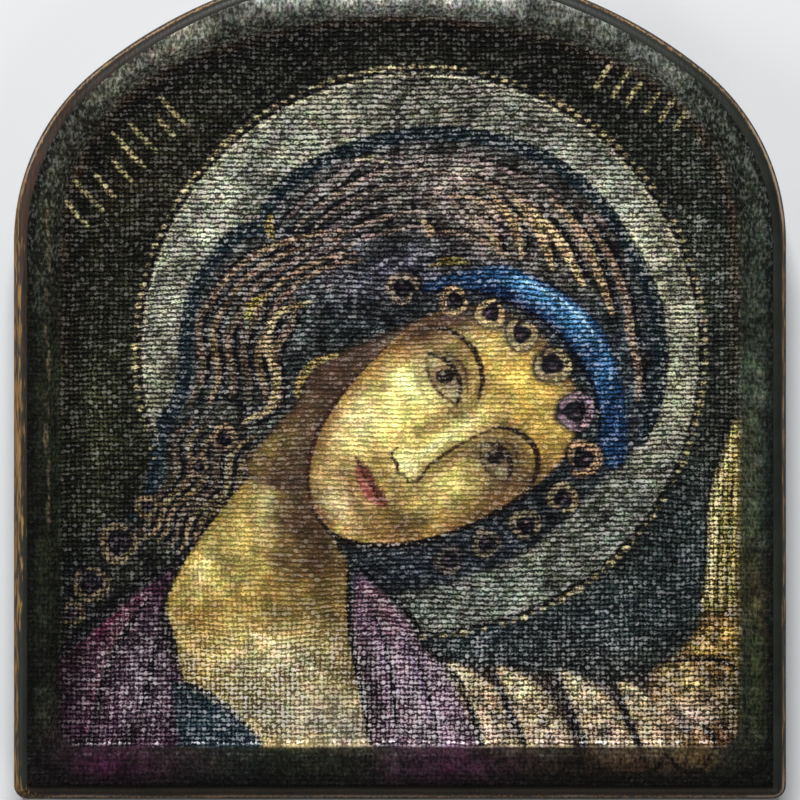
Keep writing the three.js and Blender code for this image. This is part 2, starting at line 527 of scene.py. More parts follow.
class Picture:
    """Values at the linen's points, in mm: soft colour under two layers of crisp strokes."""

    def __init__(self, x, y):
        self.x = x
        self.y = y
        self.colour = np.zeros((len(x), 3))
        self.strokes = {}
        for layer in ("dark", "light"):
            self.strokes[layer] = (np.full(len(x), CLEAR), np.zeros((len(x), 3)))

    def mottle(self, size, seed):
        """Soft blotches about `size` mm across, from -1 to 1."""
        cells = int(MOTTLE_SPAN / size) + 2
        random = np.random.default_rng(seed)
        lattice = random.uniform(-1, 1, (cells, cells))
        turn = random.uniform(0.4, 1.2)
        column = (self.x * np.cos(turn) + self.y * np.sin(turn) + MOTTLE_SHIFT) / size
        row = (self.y * np.cos(turn) - self.x * np.sin(turn) + MOTTLE_SHIFT) / size
        i = column.astype(int)
        j = row.astype(int)
        across = step_between(0, 1, column - i)
        up = step_between(0, 1, row - j)
        low = lattice[j, i] * (1 - across) + lattice[j, i + 1] * across
        high = lattice[j + 1, i] * (1 - across) + lattice[j + 1, i + 1] * across
        return low * (1 - up) + high * up

    def scumble(self, sizes, seed, strength, within=1.0):
        """Uneven paint: blotches of several sizes, lighter and darker."""
        share = sum(self.mottle(size, seed + index) for index, size in enumerate(sizes)) / len(sizes)
        self.colour *= (1 + strength * share * within)[:, None]

    def blend(self, colour, share):
        """Bring the soft colour nearer to another colour, by a share at each point."""
        self.colour += (colour - self.colour) * share[:, None]

    def measure(self, path, reach):
        """Points within reach of a path, how far each lies from it, and where along it, from 0 to 1."""
        low = path.min(axis=0) - reach
        high = path.max(axis=0) + reach
        near = np.flatnonzero(
            (self.x > low[0]) & (self.x < high[0]) & (self.y > low[1]) & (self.y < high[1])
        )
        x = self.x[near]
        y = self.y[near]
        nearest = np.full(len(near), CLEAR)
        place = np.zeros(len(near))
        count = len(path) - 1
        for index in range(count):
            start = path[index]
            run = path[index + 1] - start
            length = max(run @ run, 1e-9)
            share = np.clip(((x - start[0]) * run[0] + (y - start[1]) * run[1]) / length, 0, 1)
            gap = np.hypot(x - start[0] - share * run[0], y - start[1] - share * run[1])
            closer = gap < nearest
            nearest[closer] = gap[closer]
            place[closer] = (index + share[closer]) / count
        return near, nearest, place

    def depth_inside(self, outline, reach):
        """How deep each near point lies inside a closed outline. It is negative outside."""
        loop = np.vstack([outline, outline[:1]])
        near, depth, _ = self.measure(loop, reach)
        x = self.x[near]
        y = self.y[near]
        inside = np.zeros(len(near), bool)
        for (x0, y0), (x1, y1) in zip(loop, loop[1:]):
            if y0 == y1:
                continue
            crosses = (y0 > y) != (y1 > y)
            inside ^= crosses & (x < x0 + (y - y0) * (x1 - x0) / (y1 - y0))
        depth[~inside] *= -1
        return near, depth

    def fill(self, points, code, edge, smooth=True, covers=True):
        """Paint a closed area over what lies under it. Gives each point's share inside, soft at the edge."""
        outline = smooth_path(points, closed=True) if smooth else np.asarray(points, float)
        near, depth = self.depth_inside(outline, edge + 0.5)
        share = step_between(-edge, edge, depth)[:, None]
        self.colour[near] += (paint_colour(code) - self.colour[near]) * share
        if covers:
            for field, _ in self.strokes.values():
                field[near] = np.maximum(field[near], depth)
        within = np.zeros(len(self.x))
        within[near] = step_between(-0.1, 0.8, depth)
        return within

    def glaze(self, centre, size, code, strength, turn=0.0, within=1.0):
        """A soft oval touch of colour. Strength is its share at the middle."""
        across = self.x - centre[0]
        up = self.y - centre[1]
        angle = np.radians(turn)
        along = (across * np.cos(angle) + up * np.sin(angle)) / size[0]
        aside = (up * np.cos(angle) - across * np.sin(angle)) / size[1]
        self.blend(paint_colour(code), strength * np.exp(-(along**2 + aside**2)) * within)

    def touches(self, table, within=1.0):
        """Several soft touches, one after another."""
        for touch in table:
            self.glaze(*touch, within=within)

    def stroke(self, layer, points, width, code, start=0.3, end=0.3, smooth=True):
        """A brush stroke. Start and end are the shares of its width left at its two ends."""
        path = smooth_path(points, steps=6) if smooth else np.asarray(points, float)
        near, gap, place = self.measure(path, width + 0.9)
        swell = np.sin(np.pi * np.clip(place, 0, 1)) ** 0.6
        share = np.where(place < 0.5, start, end)
        value = gap - width / 2 * (share + (1 - share) * swell)
        field, colours = self.strokes[layer]
        nearer = value < field[near]
        field[near[nearer]] = value[nearer]
        colours[near[nearer]] = paint_colour(code)

    def shaded_stroke(self, points, width, code):
        """A pale stroke with a dark one beside it, as hair is drawn."""
        path = smooth_path(points, steps=6)
        shadow = path + beside(path) * 0.8 * width
        self.stroke("dark", shadow, 0.8 * width, "100e10", 0.2, 0.2, smooth=False)
        self.stroke("light", path, width, code, 0.2, 0.2, smooth=False)

    def dot(self, layer, centre, half_length, width, code):
        """A round spot, as a very short stroke."""
        ends = [(centre[0] - half_length, centre[1]), (centre[0] + half_length, centre[1])]
        self.stroke(layer, ends, width, code, 1, 1, smooth=False)


places = vectors_of(linen)
picture = Picture(places[:, 0] / MM, places[:, 1] / MM)
print("points to paint:", len(places))

# %% [markdown]
# ### Ground and halo
#
# The ground is olive-black, bluer towards the lower right. The halo is a disc of khaki, rubbed
# unevenly by hand, with a pale line round it and a ring of pearls, of which some are worn away.

# %% Ground
picture.colour[:] = paint_colour("181a14")
picture.touches([
    ((-50, -6), (12, 26), "2b2d1a", 0.8),
    ((-42, 32), (22, 12), "221f12", 0.7, 35),
    ((14, 53), (40, 6), "191710", 0.7),
    ((48, 20), (9, 26), "363b31", 0.85),
    ((30, -37), (24, 8), "303b3d", 0.9, 12),
    ((44, -25), (9, 14), "2c3536", 0.8),
    ((12, -40), (9, 5), "364347", 0.7),
])
picture.scumble((9, 4, 2), 3, 0.55)
print("ground, mean", picture.colour.mean(axis=0).round(3))

# %% Halo
HALO_CENTRE = np.array((3.1, 4.5))
HALO_RADIUS = 43.4
PEARL_RADIUS = 44.25
PEARL_SPACING = 1.6
PEARL_WIDTH = 1.15
WORN_AWAY = 0.35  # pearls below this share of their width are gone


def round_halo(start, end, radius):
    """Points on a circle about the halo's centre, from one turn in degrees to another."""
    angle = np.radians(np.linspace(start, end, int(abs(end - start) / 4) + 2))
    return HALO_CENTRE + radius * np.column_stack([np.cos(angle), np.sin(angle)])


disc = picture.fill(round_halo(0, 356, HALO_RADIUS), "68685a", edge=0.5)
picture.touches([
    ((-33, 12), (10, 26), "8b8c7c", 0.8, -18),
    ((-22, 34), (18, 8), "989a86", 0.85, 38),
    ((4, 42), (18, 4), "525145", 0.7),
    ((30, 32), (14, 10), "8d8f80", 0.8, -45),
    ((40, 14), (6, 16), "a2a286", 0.85),
    ((43, -6), (4, 14), "86856d", 0.75),
    ((36, -22), (14, 7), "5f665c", 0.8, 50),
    ((14, -34), (22, 6), "636a5e", 0.9, 8),
    ((-4, -30), (10, 8), "242a28", 0.9),
    ((-37, -12), (5, 12), "45452f", 0.7),
    ((-17.5, 38.8), (2.2, 1.6), "3c3f3a", 0.75, 60),
    ((-23.4, 31.6), (1.6, 2.4), "45483f", 0.65),
    ((3.4, 46.6), (3.6, 1.2), "36362e", 0.7),
], disc)
picture.scumble((6, 3, 1.6), 11, 0.7, disc)
picture.stroke("light", round_halo(-20, 215, HALO_RADIUS - 0.45), 0.5, "a8a386", smooth=False)
picture.stroke("dark", round_halo(-85, 215, HALO_RADIUS + 0.3), 0.75, "12130f", 1, 1, smooth=False)
pearls = int(360 * math.radians(PEARL_RADIUS) / PEARL_SPACING)
for index in range(pearls):
    turn = 360 * index / pearls
    worn = 0.66 + 0.3 * math.sin(7.3 * index) * math.sin(2.1 * index) + 0.15 * math.sin(0.31 * index)
    if worn < WORN_AWAY:
        continue
    centre = round_halo(turn, turn, PEARL_RADIUS)[0]
    pearl = [centre - (0.14, 0.03), centre + (0.14, 0.03)]
    tones = ("9a8f6c", "857b5b") if centre[0] > 20 else ("a59a74", "8b8163")
    picture.stroke("light", pearl, PEARL_WIDTH * worn, tones[index % 2], 1, 1, smooth=False)
print("halo painted, pearls:", pearls)

# %% [markdown]
# ### Gold strokes on the ground
#
# Two rows of short gold ticks stand on the dark ground, one on each side of the halo. They follow its
# curve, lean a little and differ in length, as gold laid on by hand does.

# %% Rows of gold strokes
TICK_ROWS = (
    # first foot, last foot, ticks, height
    ((-48.4, 24.0), (-31.0, 42.4), 8, 7.6),
    ((30.4, 45.6), (45.4, 37.6), 6, 6.2),
)
for start, end, count, height in TICK_ROWS:
    start = np.array(start)
    along = (end - start) / count
    heading = along / np.hypot(*along)
    upright = np.array([-heading[1], heading[0]])
    for index in range(count):
        foot = start + along * (index + 0.1 * math.sin(2.4 * index))
        tall = height * (0.78 + 0.22 * math.sin(1.7 * index + 0.5))
        lean = heading * (0.5 + 0.2 * math.sin(3.1 * index + 1))
        tick = [foot, foot + upright * 0.5 * tall + 0.3 * lean, foot + upright * tall + lean]
        picture.stroke("light", tick, 0.8, ("867e5a", "7a7250")[index % 2], 0.8, 0.5)
print("tick rows:", len(TICK_ROWS))

# %% [markdown]
# ### Hair
#
# Hair is a dark mass with a lobed, blue-black outline. Locks of umber and plum lie in it between pairs
# of guide lines: combed back on the right, in lobes at the top left, in waves beside the cheek and in
# long falls over the shoulder. A pale stroke with a dark one beside it makes each lock.

# %% The mass of the hair
HAIR_OUTLINE = [
    (37.5, -9.2), (39.8, -3), (40.6, 3.3), (39.8, 11.1), (37.5, 17.3), (33.1, 24.8), (28.6, 30.2),
    (22.7, 34.5), (15.6, 37.2), (9.4, 38.3), (3.1, 38.4), (-2.3, 37.5), (-8.6, 35.6), (-14.1, 33),
    (-18.1, 29.9), (-20.4, 27), (-20.9, 24), (-24.2, 23.2), (-27.3, 21), (-30.2, 17), (-32.2, 12.8),
    (-33.3, 6.4), (-33.6, 0.2), (-34.9, -3.8), (-37.3, -8), (-38, -13.9), (-39.2, -18.6),
    (-43.8, -22.4), (-49.6, -26.4), (-52.4, -32), (-52, -37.4), (-46, -38.4), (-40, -35.4),
    (-35, -31), (-30.5, -24.8), (-24.2, -15.5), (-14, -20), (-8, -33), (3.1, -32.4), (11.1, -30.3),
    (18.1, -27.5), (24.5, -22.8), (28.4, -18.8), (32.8, -14.5),
]
hair = picture.fill(HAIR_OUTLINE, "1d2122", edge=0.6)
picture.touches([
    ((6, 31), (12, 5), "69615a", 0.85),
    ((-6, 28), (12, 7), "514a45", 0.8, 20),
    ((14, 26), (8, 7), "615448", 0.85),
    ((28, 22), (7, 9), "554a40", 0.85, -50),
    ((-12, 21), (9, 6), "3b403f", 0.8),
    ((-23, 14), (6, 5), "51483d", 0.8, 30),
    ((-24, 3), (7, 10), "3c3e37", 0.8),
    ((-2, 17), (12, 5), "34323c", 0.7),
    ((-30, -14), (6, 12), "37332a", 0.75, -25),
    ((36, 0), (3, 10), "2b333a", 0.8),
    ((-42, -27), (9, 8), "151610", 0.9),
    ((-48, -32), (8, 7), "10110c", 0.9),
    ((9, -27), (16, 5), "181c22", 0.85, 18),
], hair)
picture.colour *= (1 + 0.3 * hair)[:, None]
picture.scumble((3.5, 1.8, 1.0), 21, 1.1, hair)
print("hair covers", int((hair > 0.5).sum()), "points")

# %% Locks between guide lines
LOCK_POINTS = 26
LOCK_GROUPS = (
    # inner guide, outer guide, locks, waves, swing, width, tones
    ([(-10.6, 13), (-7, 20.4), (-1, 22.4), (6, 21.8)],
     [(-19.6, 23.6), (-15, 30), (-7.6, 33.8), (2, 36), (9, 36)],
     6, 1.4, 0.5, 0.8, ("77665d", "887668", "6b605d")),
    ([(-18.6, 4), (-18, 11), (-12, 17), (-4, 18)],
     [(-31, 9), (-28.6, 16), (-23, 20.6), (-15, 22.6), (-6, 24)],
     5, 1.2, 0.4, 0.95, ("7a6450", "8b735a", "6b5950")),
    ([(-15.6, 13.4), (-17.4, 4), (-18.4, -5)],
     [(-30, 15), (-32.4, 5), (-33.4, -5)],
     6, 1.35, 0.9, 1.15, ("6a5947", "79654c", "5c4d3f")),
    ([(-16.6, -5), (-22.6, -13.4), (-28.4, -21.6), (-33.4, -29)],
     [(-33, -5), (-36.4, -12), (-38, -19), (-45.6, -25)],
     6, 2.4, 1.0, 1.05, ("66573e", "716145", "54483a")),
    ([(5, 21.6), (12, 20.4), (18.4, 17.6)],
     [(8, 35.6), (17, 34.4), (26, 29)],
     5, 1.0, 0.4, 0.85, ("826c5b", "74645e", "90775d")),
)


def lock_between(inner, outer, share, waves, swing, phase):
    """A wavy lock between two guide lines, `share` of the way from the inner to the outer one."""
    inside, outside = (spaced(smooth_path(guide), LOCK_POINTS, with_end=True) for guide in (inner, outer))
    path = inside + (outside - inside) * share
    place = np.linspace(0, 1, LOCK_POINTS)
    sway = swing * np.sin(2 * np.pi * (waves * place + phase)) * step_between(0, 0.15, place)
    return path + beside(path) * sway[:, None]


locks = 0
for inner, outer, count, waves, swing, width, tones in LOCK_GROUPS:
    for index in range(count):
        lock = lock_between(inner, outer, (index + 0.5) / count, waves, swing, 0.07 * index)
        first = (index * 3) % 5
        last = LOCK_POINTS - (index * 5) % 4
        picture.shaded_stroke(lock[first:last:2], width, tones[index % len(tones)])
        locks += 1
print("locks:", locks)

# %% Combed strands on the right, long waves, accents and the outline of the hair
STRANDS = (
    ([(12.7, 25.5), (14.4, 22.4), (15.9, 19.1)], 1.0, "87704f"),
    ([(14.4, 28.8), (17.6, 24.6), (19.1, 19.1)], 1.1, "a68c64"),
    ([(17.5, 28.6), (21.4, 23.6), (23.8, 17)], 1.15, "ac9268"),
    ([(19.6, 27.4), (24.8, 21.6), (28.6, 14.4)], 1.25, "c2a878"),
    ([(23.4, 28.4), (28.4, 22.4), (31.6, 14.4), (33, 10)], 1.1, "a08763"),
    ([(28.4, 25.6), (32.8, 18.6), (35.4, 11), (36.4, 4)], 1.0, "86705a"),
    ([(34.8, 9), (36.8, 3), (37, -3.4)], 1.0, "8d7a64"),
    ([(-13.8, 12.2), (-19, 10.4), (-20.6, 6), (-19.2, 0.6), (-20, -4), (-24.4, -6.4)], 1.2, "a18d63"),
    ([(-20.6, 13.2), (-22.8, 11.8), (-23.8, 9.4)], 1.2, "94873f"),
    ([(-20, 25.8), (-20.4, 23.6), (-19.6, 22)], 1.0, "8a7a3c"),
    ([(-7.4, 34), (-4.4, 34.6), (-1.2, 33.6)], 0.6, "a59c7c"),
    ([(3.2, 25.2), (4.4, 23.6), (5, 22.2)], 1.1, "8c7350"),
    ([(4.4, 17.6), (7.4, 18.6), (11, 18.4)], 1.0, "6f6130"),
)
OUTER_HAIR = HAIR_OUTLINE[:32]
for points, width, tone in STRANDS:
    picture.shaded_stroke(points, 1.25 * width, tone)
for first in range(0, len(OUTER_HAIR) - 2, 2):
    code = "17252c" if OUTER_HAIR[first][0] > -38 else "101410"
    picture.stroke("dark", OUTER_HAIR[first:first + 4], 2.3, code, 0.8, 0.8)
picture.stroke("dark", [(-20.9, 24), (-17, 23.2), (-12, 23.6), (-7, 22.8)], 1.2, "14171c", 0.8, 0.2)
picture.stroke("dark", [(-33, -3.8), (-27, -2.6), (-21, -6.6)], 1.2, "14161a", 0.6, 0.2)
print("strands:", len(STRANDS))

# %% Ring curls
RING_TURN = 2 * np.pi * 0.92
RING_POINTS = 15


def ring_curls(curls, turn_step):
    """Small snail curls: a dark eye, a ring of paint round it and a dark shadow outside."""
    for index, (centre, radius, code) in enumerate(curls):
        turn = turn_step * index
        angle = np.radians(turn) + np.linspace(0, RING_TURN, RING_POINTS)
        reach = radius * (np.linspace(0.92, 0.74, RING_POINTS) + 0.07 * np.sin(3 * angle + turn))
        spokes = np.column_stack([np.cos(angle), np.sin(angle)]) * reach[:, None]
        picture.fill(centre + 1.4 * spokes, "17141a", edge=0.6, smooth=False)
        picture.stroke("dark", centre + 0.55 * spokes, 0.7, "120f14", 0.8, 0.8)
        picture.stroke("light", centre + spokes, 0.38 * radius + 0.25, code, 0.6, 0.3)
        picture.stroke("light", centre + 0.25 * spokes[2:7], 0.5, "5a4650", 0.4, 0.4)
    print("ring curls:", len(curls))


ring_curls((
    ((-39.4, -19.6), 1.7, "75664a"), ((-43.5, -25.3), 3.1, "5e543e"), ((-47.8, -31.4), 2.8, "544a37"),
    ((-50.8, -36.0), 1.8, "4c422f"), ((-27.4, -8.8), 2.0, "86705c"), ((-31.4, -13.4), 1.6, "6f5f4c"),
), 70)

# %% [markdown]
# ### Wing
#
# A row of broad pinions lies along the foot of the picture, each a pale blade with a dark gap behind
# it. A bundle of narrow quills rises along the right side, and a gold coverts patch joins them.

# %% Pinions
PINION_GROUND = [(9.6, -44), (20, -45), (34, -47.4), (42, -43), (56, -43), (56, -60), (15, -60), (11, -50)]
PINION_TIPS = ((7.0, -43.8), (15.0, -44.5), (24.8, -45.2), (33.9, -46.9))
# A pinion is given in steps across and down from its tip, in mm
BLADE = [
    (0, 0), (3.4, -0.8), (7.2, -3.4), (9.6, -7), (12, -13.4), (5.6, -13.6), (3.6, -9.4), (1.6, -4.6),
]
BLADE_TOUCHES = (
    ((2.8, -2.4), (2.6, 3.2), "d8c596", 0.85, -50),
    ((6.6, -6.6), (2, 4.4), "ba9f74", 0.7, -60),
    ((7.6, -11), (3, 3), "a18c7e", 0.8, -50),
)
BLADE_LINES = (
    ("dark", [(-0.4, -0.6), (1.2, -5), (3.2, -9.6), (5, -13)], 1.1, "16120f", 0.3, 0.6),
    ("light", [(0.3, -0.4), (3.4, -1.8), (6.6, -4.8)], 0.8, "d2c498", 0.3, 0.1),
    ("light", [(1.8, -3), (4.4, -6.6), (6.4, -11)], 0.55, "b5a174", 0.2, 0.1),
    ("dark", [(4.4, -3.8), (7, -7.6), (9, -12)], 0.45, "3b2d20", 0.2, 0.3),
)
picture.fill(PINION_GROUND, "2c221b", edge=0.6, smooth=False)
for tip in PINION_TIPS:
    within = picture.fill(np.add(tip, BLADE), "a08c64", edge=0.5)
    picture.touches([(np.add(tip, place), *touch) for place, *touch in BLADE_TOUCHES], within)
    picture.scumble((1.8, 1.1), 31, 0.8, within)
    for layer, line, *brush in BLADE_LINES:
        picture.stroke(layer, np.add(tip, line), *brush)
print("pinions:", len(PINION_TIPS))

# %% Quills and the patch of gold between
PATCH = [
    (39, -45.8), (43, -42.4), (45.8, -39), (47.2, -35.8), (50, -34.6), (56.4, -35.6), (56.8, -54),
    (50, -57.4), (43, -56), (39.4, -51),
]
QUILLS = [
    (55.4, -4), (51.6, -6.4), (49.8, -12), (48.6, -20), (47.8, -28), (46.6, -34.6), (47.6, -36),
    (55.6, -35.4),
]
QUILL_TONES = ("bdb074", "988a4c", "a29456", "857e4a", "6d6a40")
within = picture.fill(PATCH, "604b28", edge=0.6)
picture.touches([
    ((49, -40.2), (4.6, 2.4), "c6a454", 0.9),
    ((45, -46.4), (5.6, 2.4), "d2bb7a", 0.85, -22),
    ((50, -44.4), (3, 1.6), "8f6a38", 0.7),
    ((45, -52), (5.4, 3), "b3a096", 0.75),
    ((54, -49), (3, 7), "23240f", 0.85),
    ((50, -55.6), (3, 2), "45281a", 0.7),
], within)
picture.scumble((1.8, 1.1), 41, 0.8, within)
picture.stroke("dark", [(40.6, -43.6), (46, -43.2), (50.6, -43.6), (54, -46.8)], 0.9, "14120c", 0.3, 0.6)
picture.stroke("dark", [(46.6, -36.4), (50, -36), (53.8, -37)], 0.6, "1b160d")
picture.fill(QUILLS, "6d6230", edge=0.5, smooth=False)
for index, tone in enumerate(QUILL_TONES):
    top = 52.0 + 0.62 * index
    foot = 48.3 + 1.5 * index
    quill = [(foot, -34.8), (foot + 0.4, -27), (foot + 1.0 - 0.1 * index, -18), (top - 0.9, -11), (top, -6)]
    picture.stroke("light", quill, 0.9, tone, 0.5, 0.2)
    picture.stroke("dark", [(x + 0.78, y) for x, y in quill], 0.35, "18150b", 0.6, 0.2)
picture.stroke("light", [(46.8, -34.6), (48.0, -31), (48.2, -20), (49.2, -13)], 0.6, "bdb084", 0.4, 0.1)
edge = [(55.2, -4), (51.2, -6.4), (49.2, -12), (48, -20), (47.2, -29)]
picture.stroke("dark", edge, 0.8, "10120f", 0.3, 0.5)
print("quills:", len(QUILL_TONES))

# %% [markdown]
# ### Neck, clothes and ribbon
#
# Flesh is warm ochre over olive, dark under the jaw. A plum cloak lies over both shoulders, with a
# teal tunic at the collar, and each fold is a dark line with a lighter one beside it. A blue ribbon
# binds the hair above the forehead.

# %% Neck and chest
NECK = [
    (-15.6, -9), (-20.6, -11.6), (-28.3, -20.5), (-34, -28.6), (-36.3, -35), (-35, -40), (-33.6, -46.4),
    (-27, -51.4), (-21.6, -56.9), (-12, -57.6), (-4.1, -57), (-5.6, -47), (-7.6, -38.6), (-8.2, -29),
    (-10, -24), (-6, -16),
]
neck = picture.fill(NECK, "866f35", edge=0.4)
picture.touches([
    ((-26, -27), (5, 12), "a8914c", 0.85, -34),
    ((-29, -33), (4, 5), "a38a48", 0.7),
    ((-20, -43), (10, 6), "bcab76", 0.85),
    ((-14, -52), (12, 5), "9d8e70", 0.9),
    ((-8, -55), (6, 3), "7f7466", 0.7),
    ((-31, -40), (4, 5), "9c7c38", 0.6),
    ((-22, -36), (5, 4), "8a6a2c", 0.6),
    ((-11, -29), (7, 6), "3f2d17", 0.9),
    ((-14, -21), (6, 8), "36241a", 0.9, -30),
    ((-18, -11), (5, 7), "2e2018", 0.95, -35),
    ((-8, -38), (3, 8), "5c4522", 0.75),
    ((-14, -34), (5, 4), "6d5426", 0.6),
    ((-17, -36.2), (8, 2.4), "6c572a", 0.6, -6),
    ((-32, -36.4), (3, 2.2), "76571f", 0.7),
    ((-21, -18.4), (1.5, 6), "b9a96e", 0.7),
    ((-30.6, -29.8), (1.3, 3.2), "cdbc80", 0.7, -20),
], neck)
picture.scumble((3, 1.5), 51, 0.35, neck)
picture.stroke("dark", [(-19, -9), (-28.4, -20.2), (-34.2, -28.4), (-36.8, -35), (-35.4, -40), (-34, -46.8)],
               1.0, "15110f", 0.5, 0.6)
picture.stroke("light", [(-35.2, -36.6), (-33.8, -40.4), (-32.6, -46.4)], 0.5, "b8a468", 0.3, 0.3)
picture.stroke("light", [(-24, -52.4), (-16, -54.6), (-8, -55.2)], 0.5, "bba973", 0.2, 0.2)
picture.stroke("light", [(-23.4, -39.2), (-18.8, -41.3), (-14.5, -47.2)], 1.1, "d6c896", 0.2, 0.2)
picture.stroke("light", [(-18.1, -40.4), (-13.3, -45), (-10, -46.8)], 0.8, "cabd8e", 0.2, 0.2)
print("neck covers", int((neck > 0.5).sum()), "points")


# %% Cloak and tunic
def cloth_fold(points, width, dark_code, light_code):
    """A fold: a dark line with a lighter one beside it."""
    picture.stroke("dark", points, width, dark_code, 0.2, 0.4)
    lit_side = [(x - 0.9, y + 0.3) for x, y in points]
    picture.stroke("light", lit_side, width * 0.7, light_code, 0.1, 0.2)


LEFT_CLOAK = [
    (-34.6, -29.2), (-39, -31.6), (-45, -36.4), (-50.6, -41), (-53.6, -45), (-54.6, -52), (-55, -62),
    (-34, -62), (-33.9, -56.7), (-33.6, -47), (-36.4, -40), (-37, -35),
]
TUNIC = [
    (-35.6, -46.6), (-31.6, -47.8), (-26.6, -51), (-21.4, -56.2), (-20, -62), (-34, -62), (-34.6, -54),
]
RIGHT_CLOAK = [
    (-6.6, -29.4), (-2, -33.6), (1.4, -37.2), (3.1, -41.1), (7.2, -45.2), (10, -50.6), (12, -56.1),
    (14, -62), (-3.4, -62), (-4.2, -56.4), (-6, -47), (-7.6, -38.6),
]
within = picture.fill(LEFT_CLOAK, "2d1927", edge=0.5)
picture.touches([
    ((-39.6, -46.4), (3.6, 8), "6c5d6a", 0.85),
    ((-47, -49), (5, 4), "56404c", 0.7),
    ((-52.4, -50), (2.6, 9), "22111b", 0.85),
    ((-43.6, -36), (10, 1.9), "57283a", 0.95, 47),
    ((-44, -40.6), (6, 1.4), "7b6369", 0.85, 62),
], within)
picture.scumble((3, 1.5), 61, 0.6, within)
tunic = picture.fill(TUNIC, "1f2d34", edge=0.4, smooth=False)
picture.glaze((-29, -53), (4, 3), "304853", 0.8, within=tunic)
within = picture.fill(RIGHT_CLOAK, "644b5a", edge=0.4, smooth=False)
picture.touches([
    ((1, -46), (4, 9), "957e8c", 0.85, 22),
    ((-3, -36), (1.8, 6), "785a60", 0.8, 15),
    ((-5.4, -50), (2, 7), "33242f", 0.8),
    ((4, -54), (4, 4), "9d8a95", 0.8),
], within)
picture.scumble((3, 1.5), 71, 0.6, within)
print("tunic covers", int((tunic > 0.5).sum()), "points")

# %% Seams and folds of the clothes
SEAMS = (
    ([(-8, -29), (-7.8, -38), (-6.2, -47), (-4.4, -57)], 1.0, "120c10", 0.4, 0.7),
    ([(-6.6, -28.6), (-1.4, -33.2), (2, -37), (4, -41), (8, -45), (10.8, -50.4), (12.8, -57)],
     1.1, "0f0e12", 0.4, 0.8),
    ([(-34, -28.2), (-39.4, -30.6), (-45.6, -35.6), (-51.4, -40.4), (-54.6, -45)],
     1.4, "0e0b0f", 0.4, 0.7),
)
FOLDS = (
    ([(-38, -32.8), (-43, -39.6), (-46.4, -48), (-48, -56)], 0.9, "120a10", "583644"),
    ([(-36.4, -36.6), (-38.6, -44), (-40, -52)], 0.9, "130c14", "56404f"),
    ([(-4, -35.6), (-1.6, -44), (-0.4, -56)], 0.8, "180d1c", "75527a"),
    ([(1, -40), (4, -47), (6, -56)], 0.8, "180d1c", "6e4f74"),
)
for seam in SEAMS:
    picture.stroke("dark", *seam)
for fold in FOLDS:
    cloth_fold(*fold)
picture.stroke("dark", [(-36, -46.6), (-31.6, -47.6), (-26.6, -50.8), (-21, -56.6)], 0.8, "0d1216", 0.5, 0.5)
print("seams and folds:", len(SEAMS) + 1, len(FOLDS))

# %% Ribbon
RIBBON_OUTER = [
    (3.6, 15.2), (10.9, 17.2), (16.6, 17.8), (23.6, 14.6), (29.8, 10), (33, 4.4), (35, -4), (34.8, -12.6),
]
RIBBON_INNER = [(31, -12.4), (30.8, -4.1), (28, 3), (22.8, 8.8), (16, 12.6), (10, 14), (4, 13.8)]
ribbon = picture.fill(RIBBON_OUTER + RIBBON_INNER, "16304f", edge=0.4)
picture.touches([
    ((20, 14.4), (6, 1.9), "4a8ab8", 0.95, -28),
    ((27, 9.4), (5, 2.4), "5090c0", 0.95, -46),
    ((32, 2), (2, 5), "3a6f9c", 0.9, -14),
    ((12, 15.8), (4, 1.2), "2a5580", 0.8),
    ((33, -8), (1.6, 5), "1f4670", 0.8),
    ((20, 10.8), (6, 1), "0f1c46", 0.7, -32),
], ribbon)
picture.stroke("light", [(17, 16.4), (22.6, 13.8), (27.8, 10), (31.2, 5.4)], 0.7, "8cb4cc", 0.1, 0.1)
picture.stroke("dark", RIBBON_INNER, 0.8, "0b1022")
print("ribbon covers", int((ribbon > 0.5).sum()), "points")

# %% [markdown]
# ### Face
#
# The face is a plain one on the painters' old proportions: forehead, nose and chin are each one nose
# long, and the eyes sit half a nose to each side. Points are given in noses from the root of the nose
# and turned with the head, so the whole face can be moved, tilted or enlarged by a few numbers. An
# umber hairline comes first, where the waves of hair meet the face and the neck.

# %% Proportions of the head
NOSE = 15.0
BRIDGE = np.array([12.7, -6.0])
TILT = math.radians(58)
HEAD_UP = np.array([math.sin(TILT), math.cos(TILT)])
HEAD_RIGHT = np.array([math.cos(TILT), -math.sin(TILT)])
NEAR_SIDE, FAR_SIDE = 1.1, 0.86


def on_head(places):
    """Points given in noses across and up from the bridge, on the turned and tilted head, in mm."""
    placed = []
    for across, up in places:
        across = across * (NEAR_SIDE if across < 0 else FAR_SIDE)
        placed.append(BRIDGE + NOSE * (across * HEAD_RIGHT + up * HEAD_UP))
    return placed


def head_touches(table, within):
    """Soft touches on the head, in noses. A turn is measured from the head's own horizontal."""
    for place, size, code, strength, turn in table:
        size = (size[0] * NOSE, size[1] * NOSE)
        picture.glaze(on_head([place])[0], size, code, strength, turn - math.degrees(TILT), within)


def head_line(layer, places, width, code, start=0.2, end=0.2):
    """A brush line on the head."""
    picture.stroke(layer, on_head(places), width, code, start, end)


print("chin at", on_head([(0, -2)])[0].round(1), "mm")

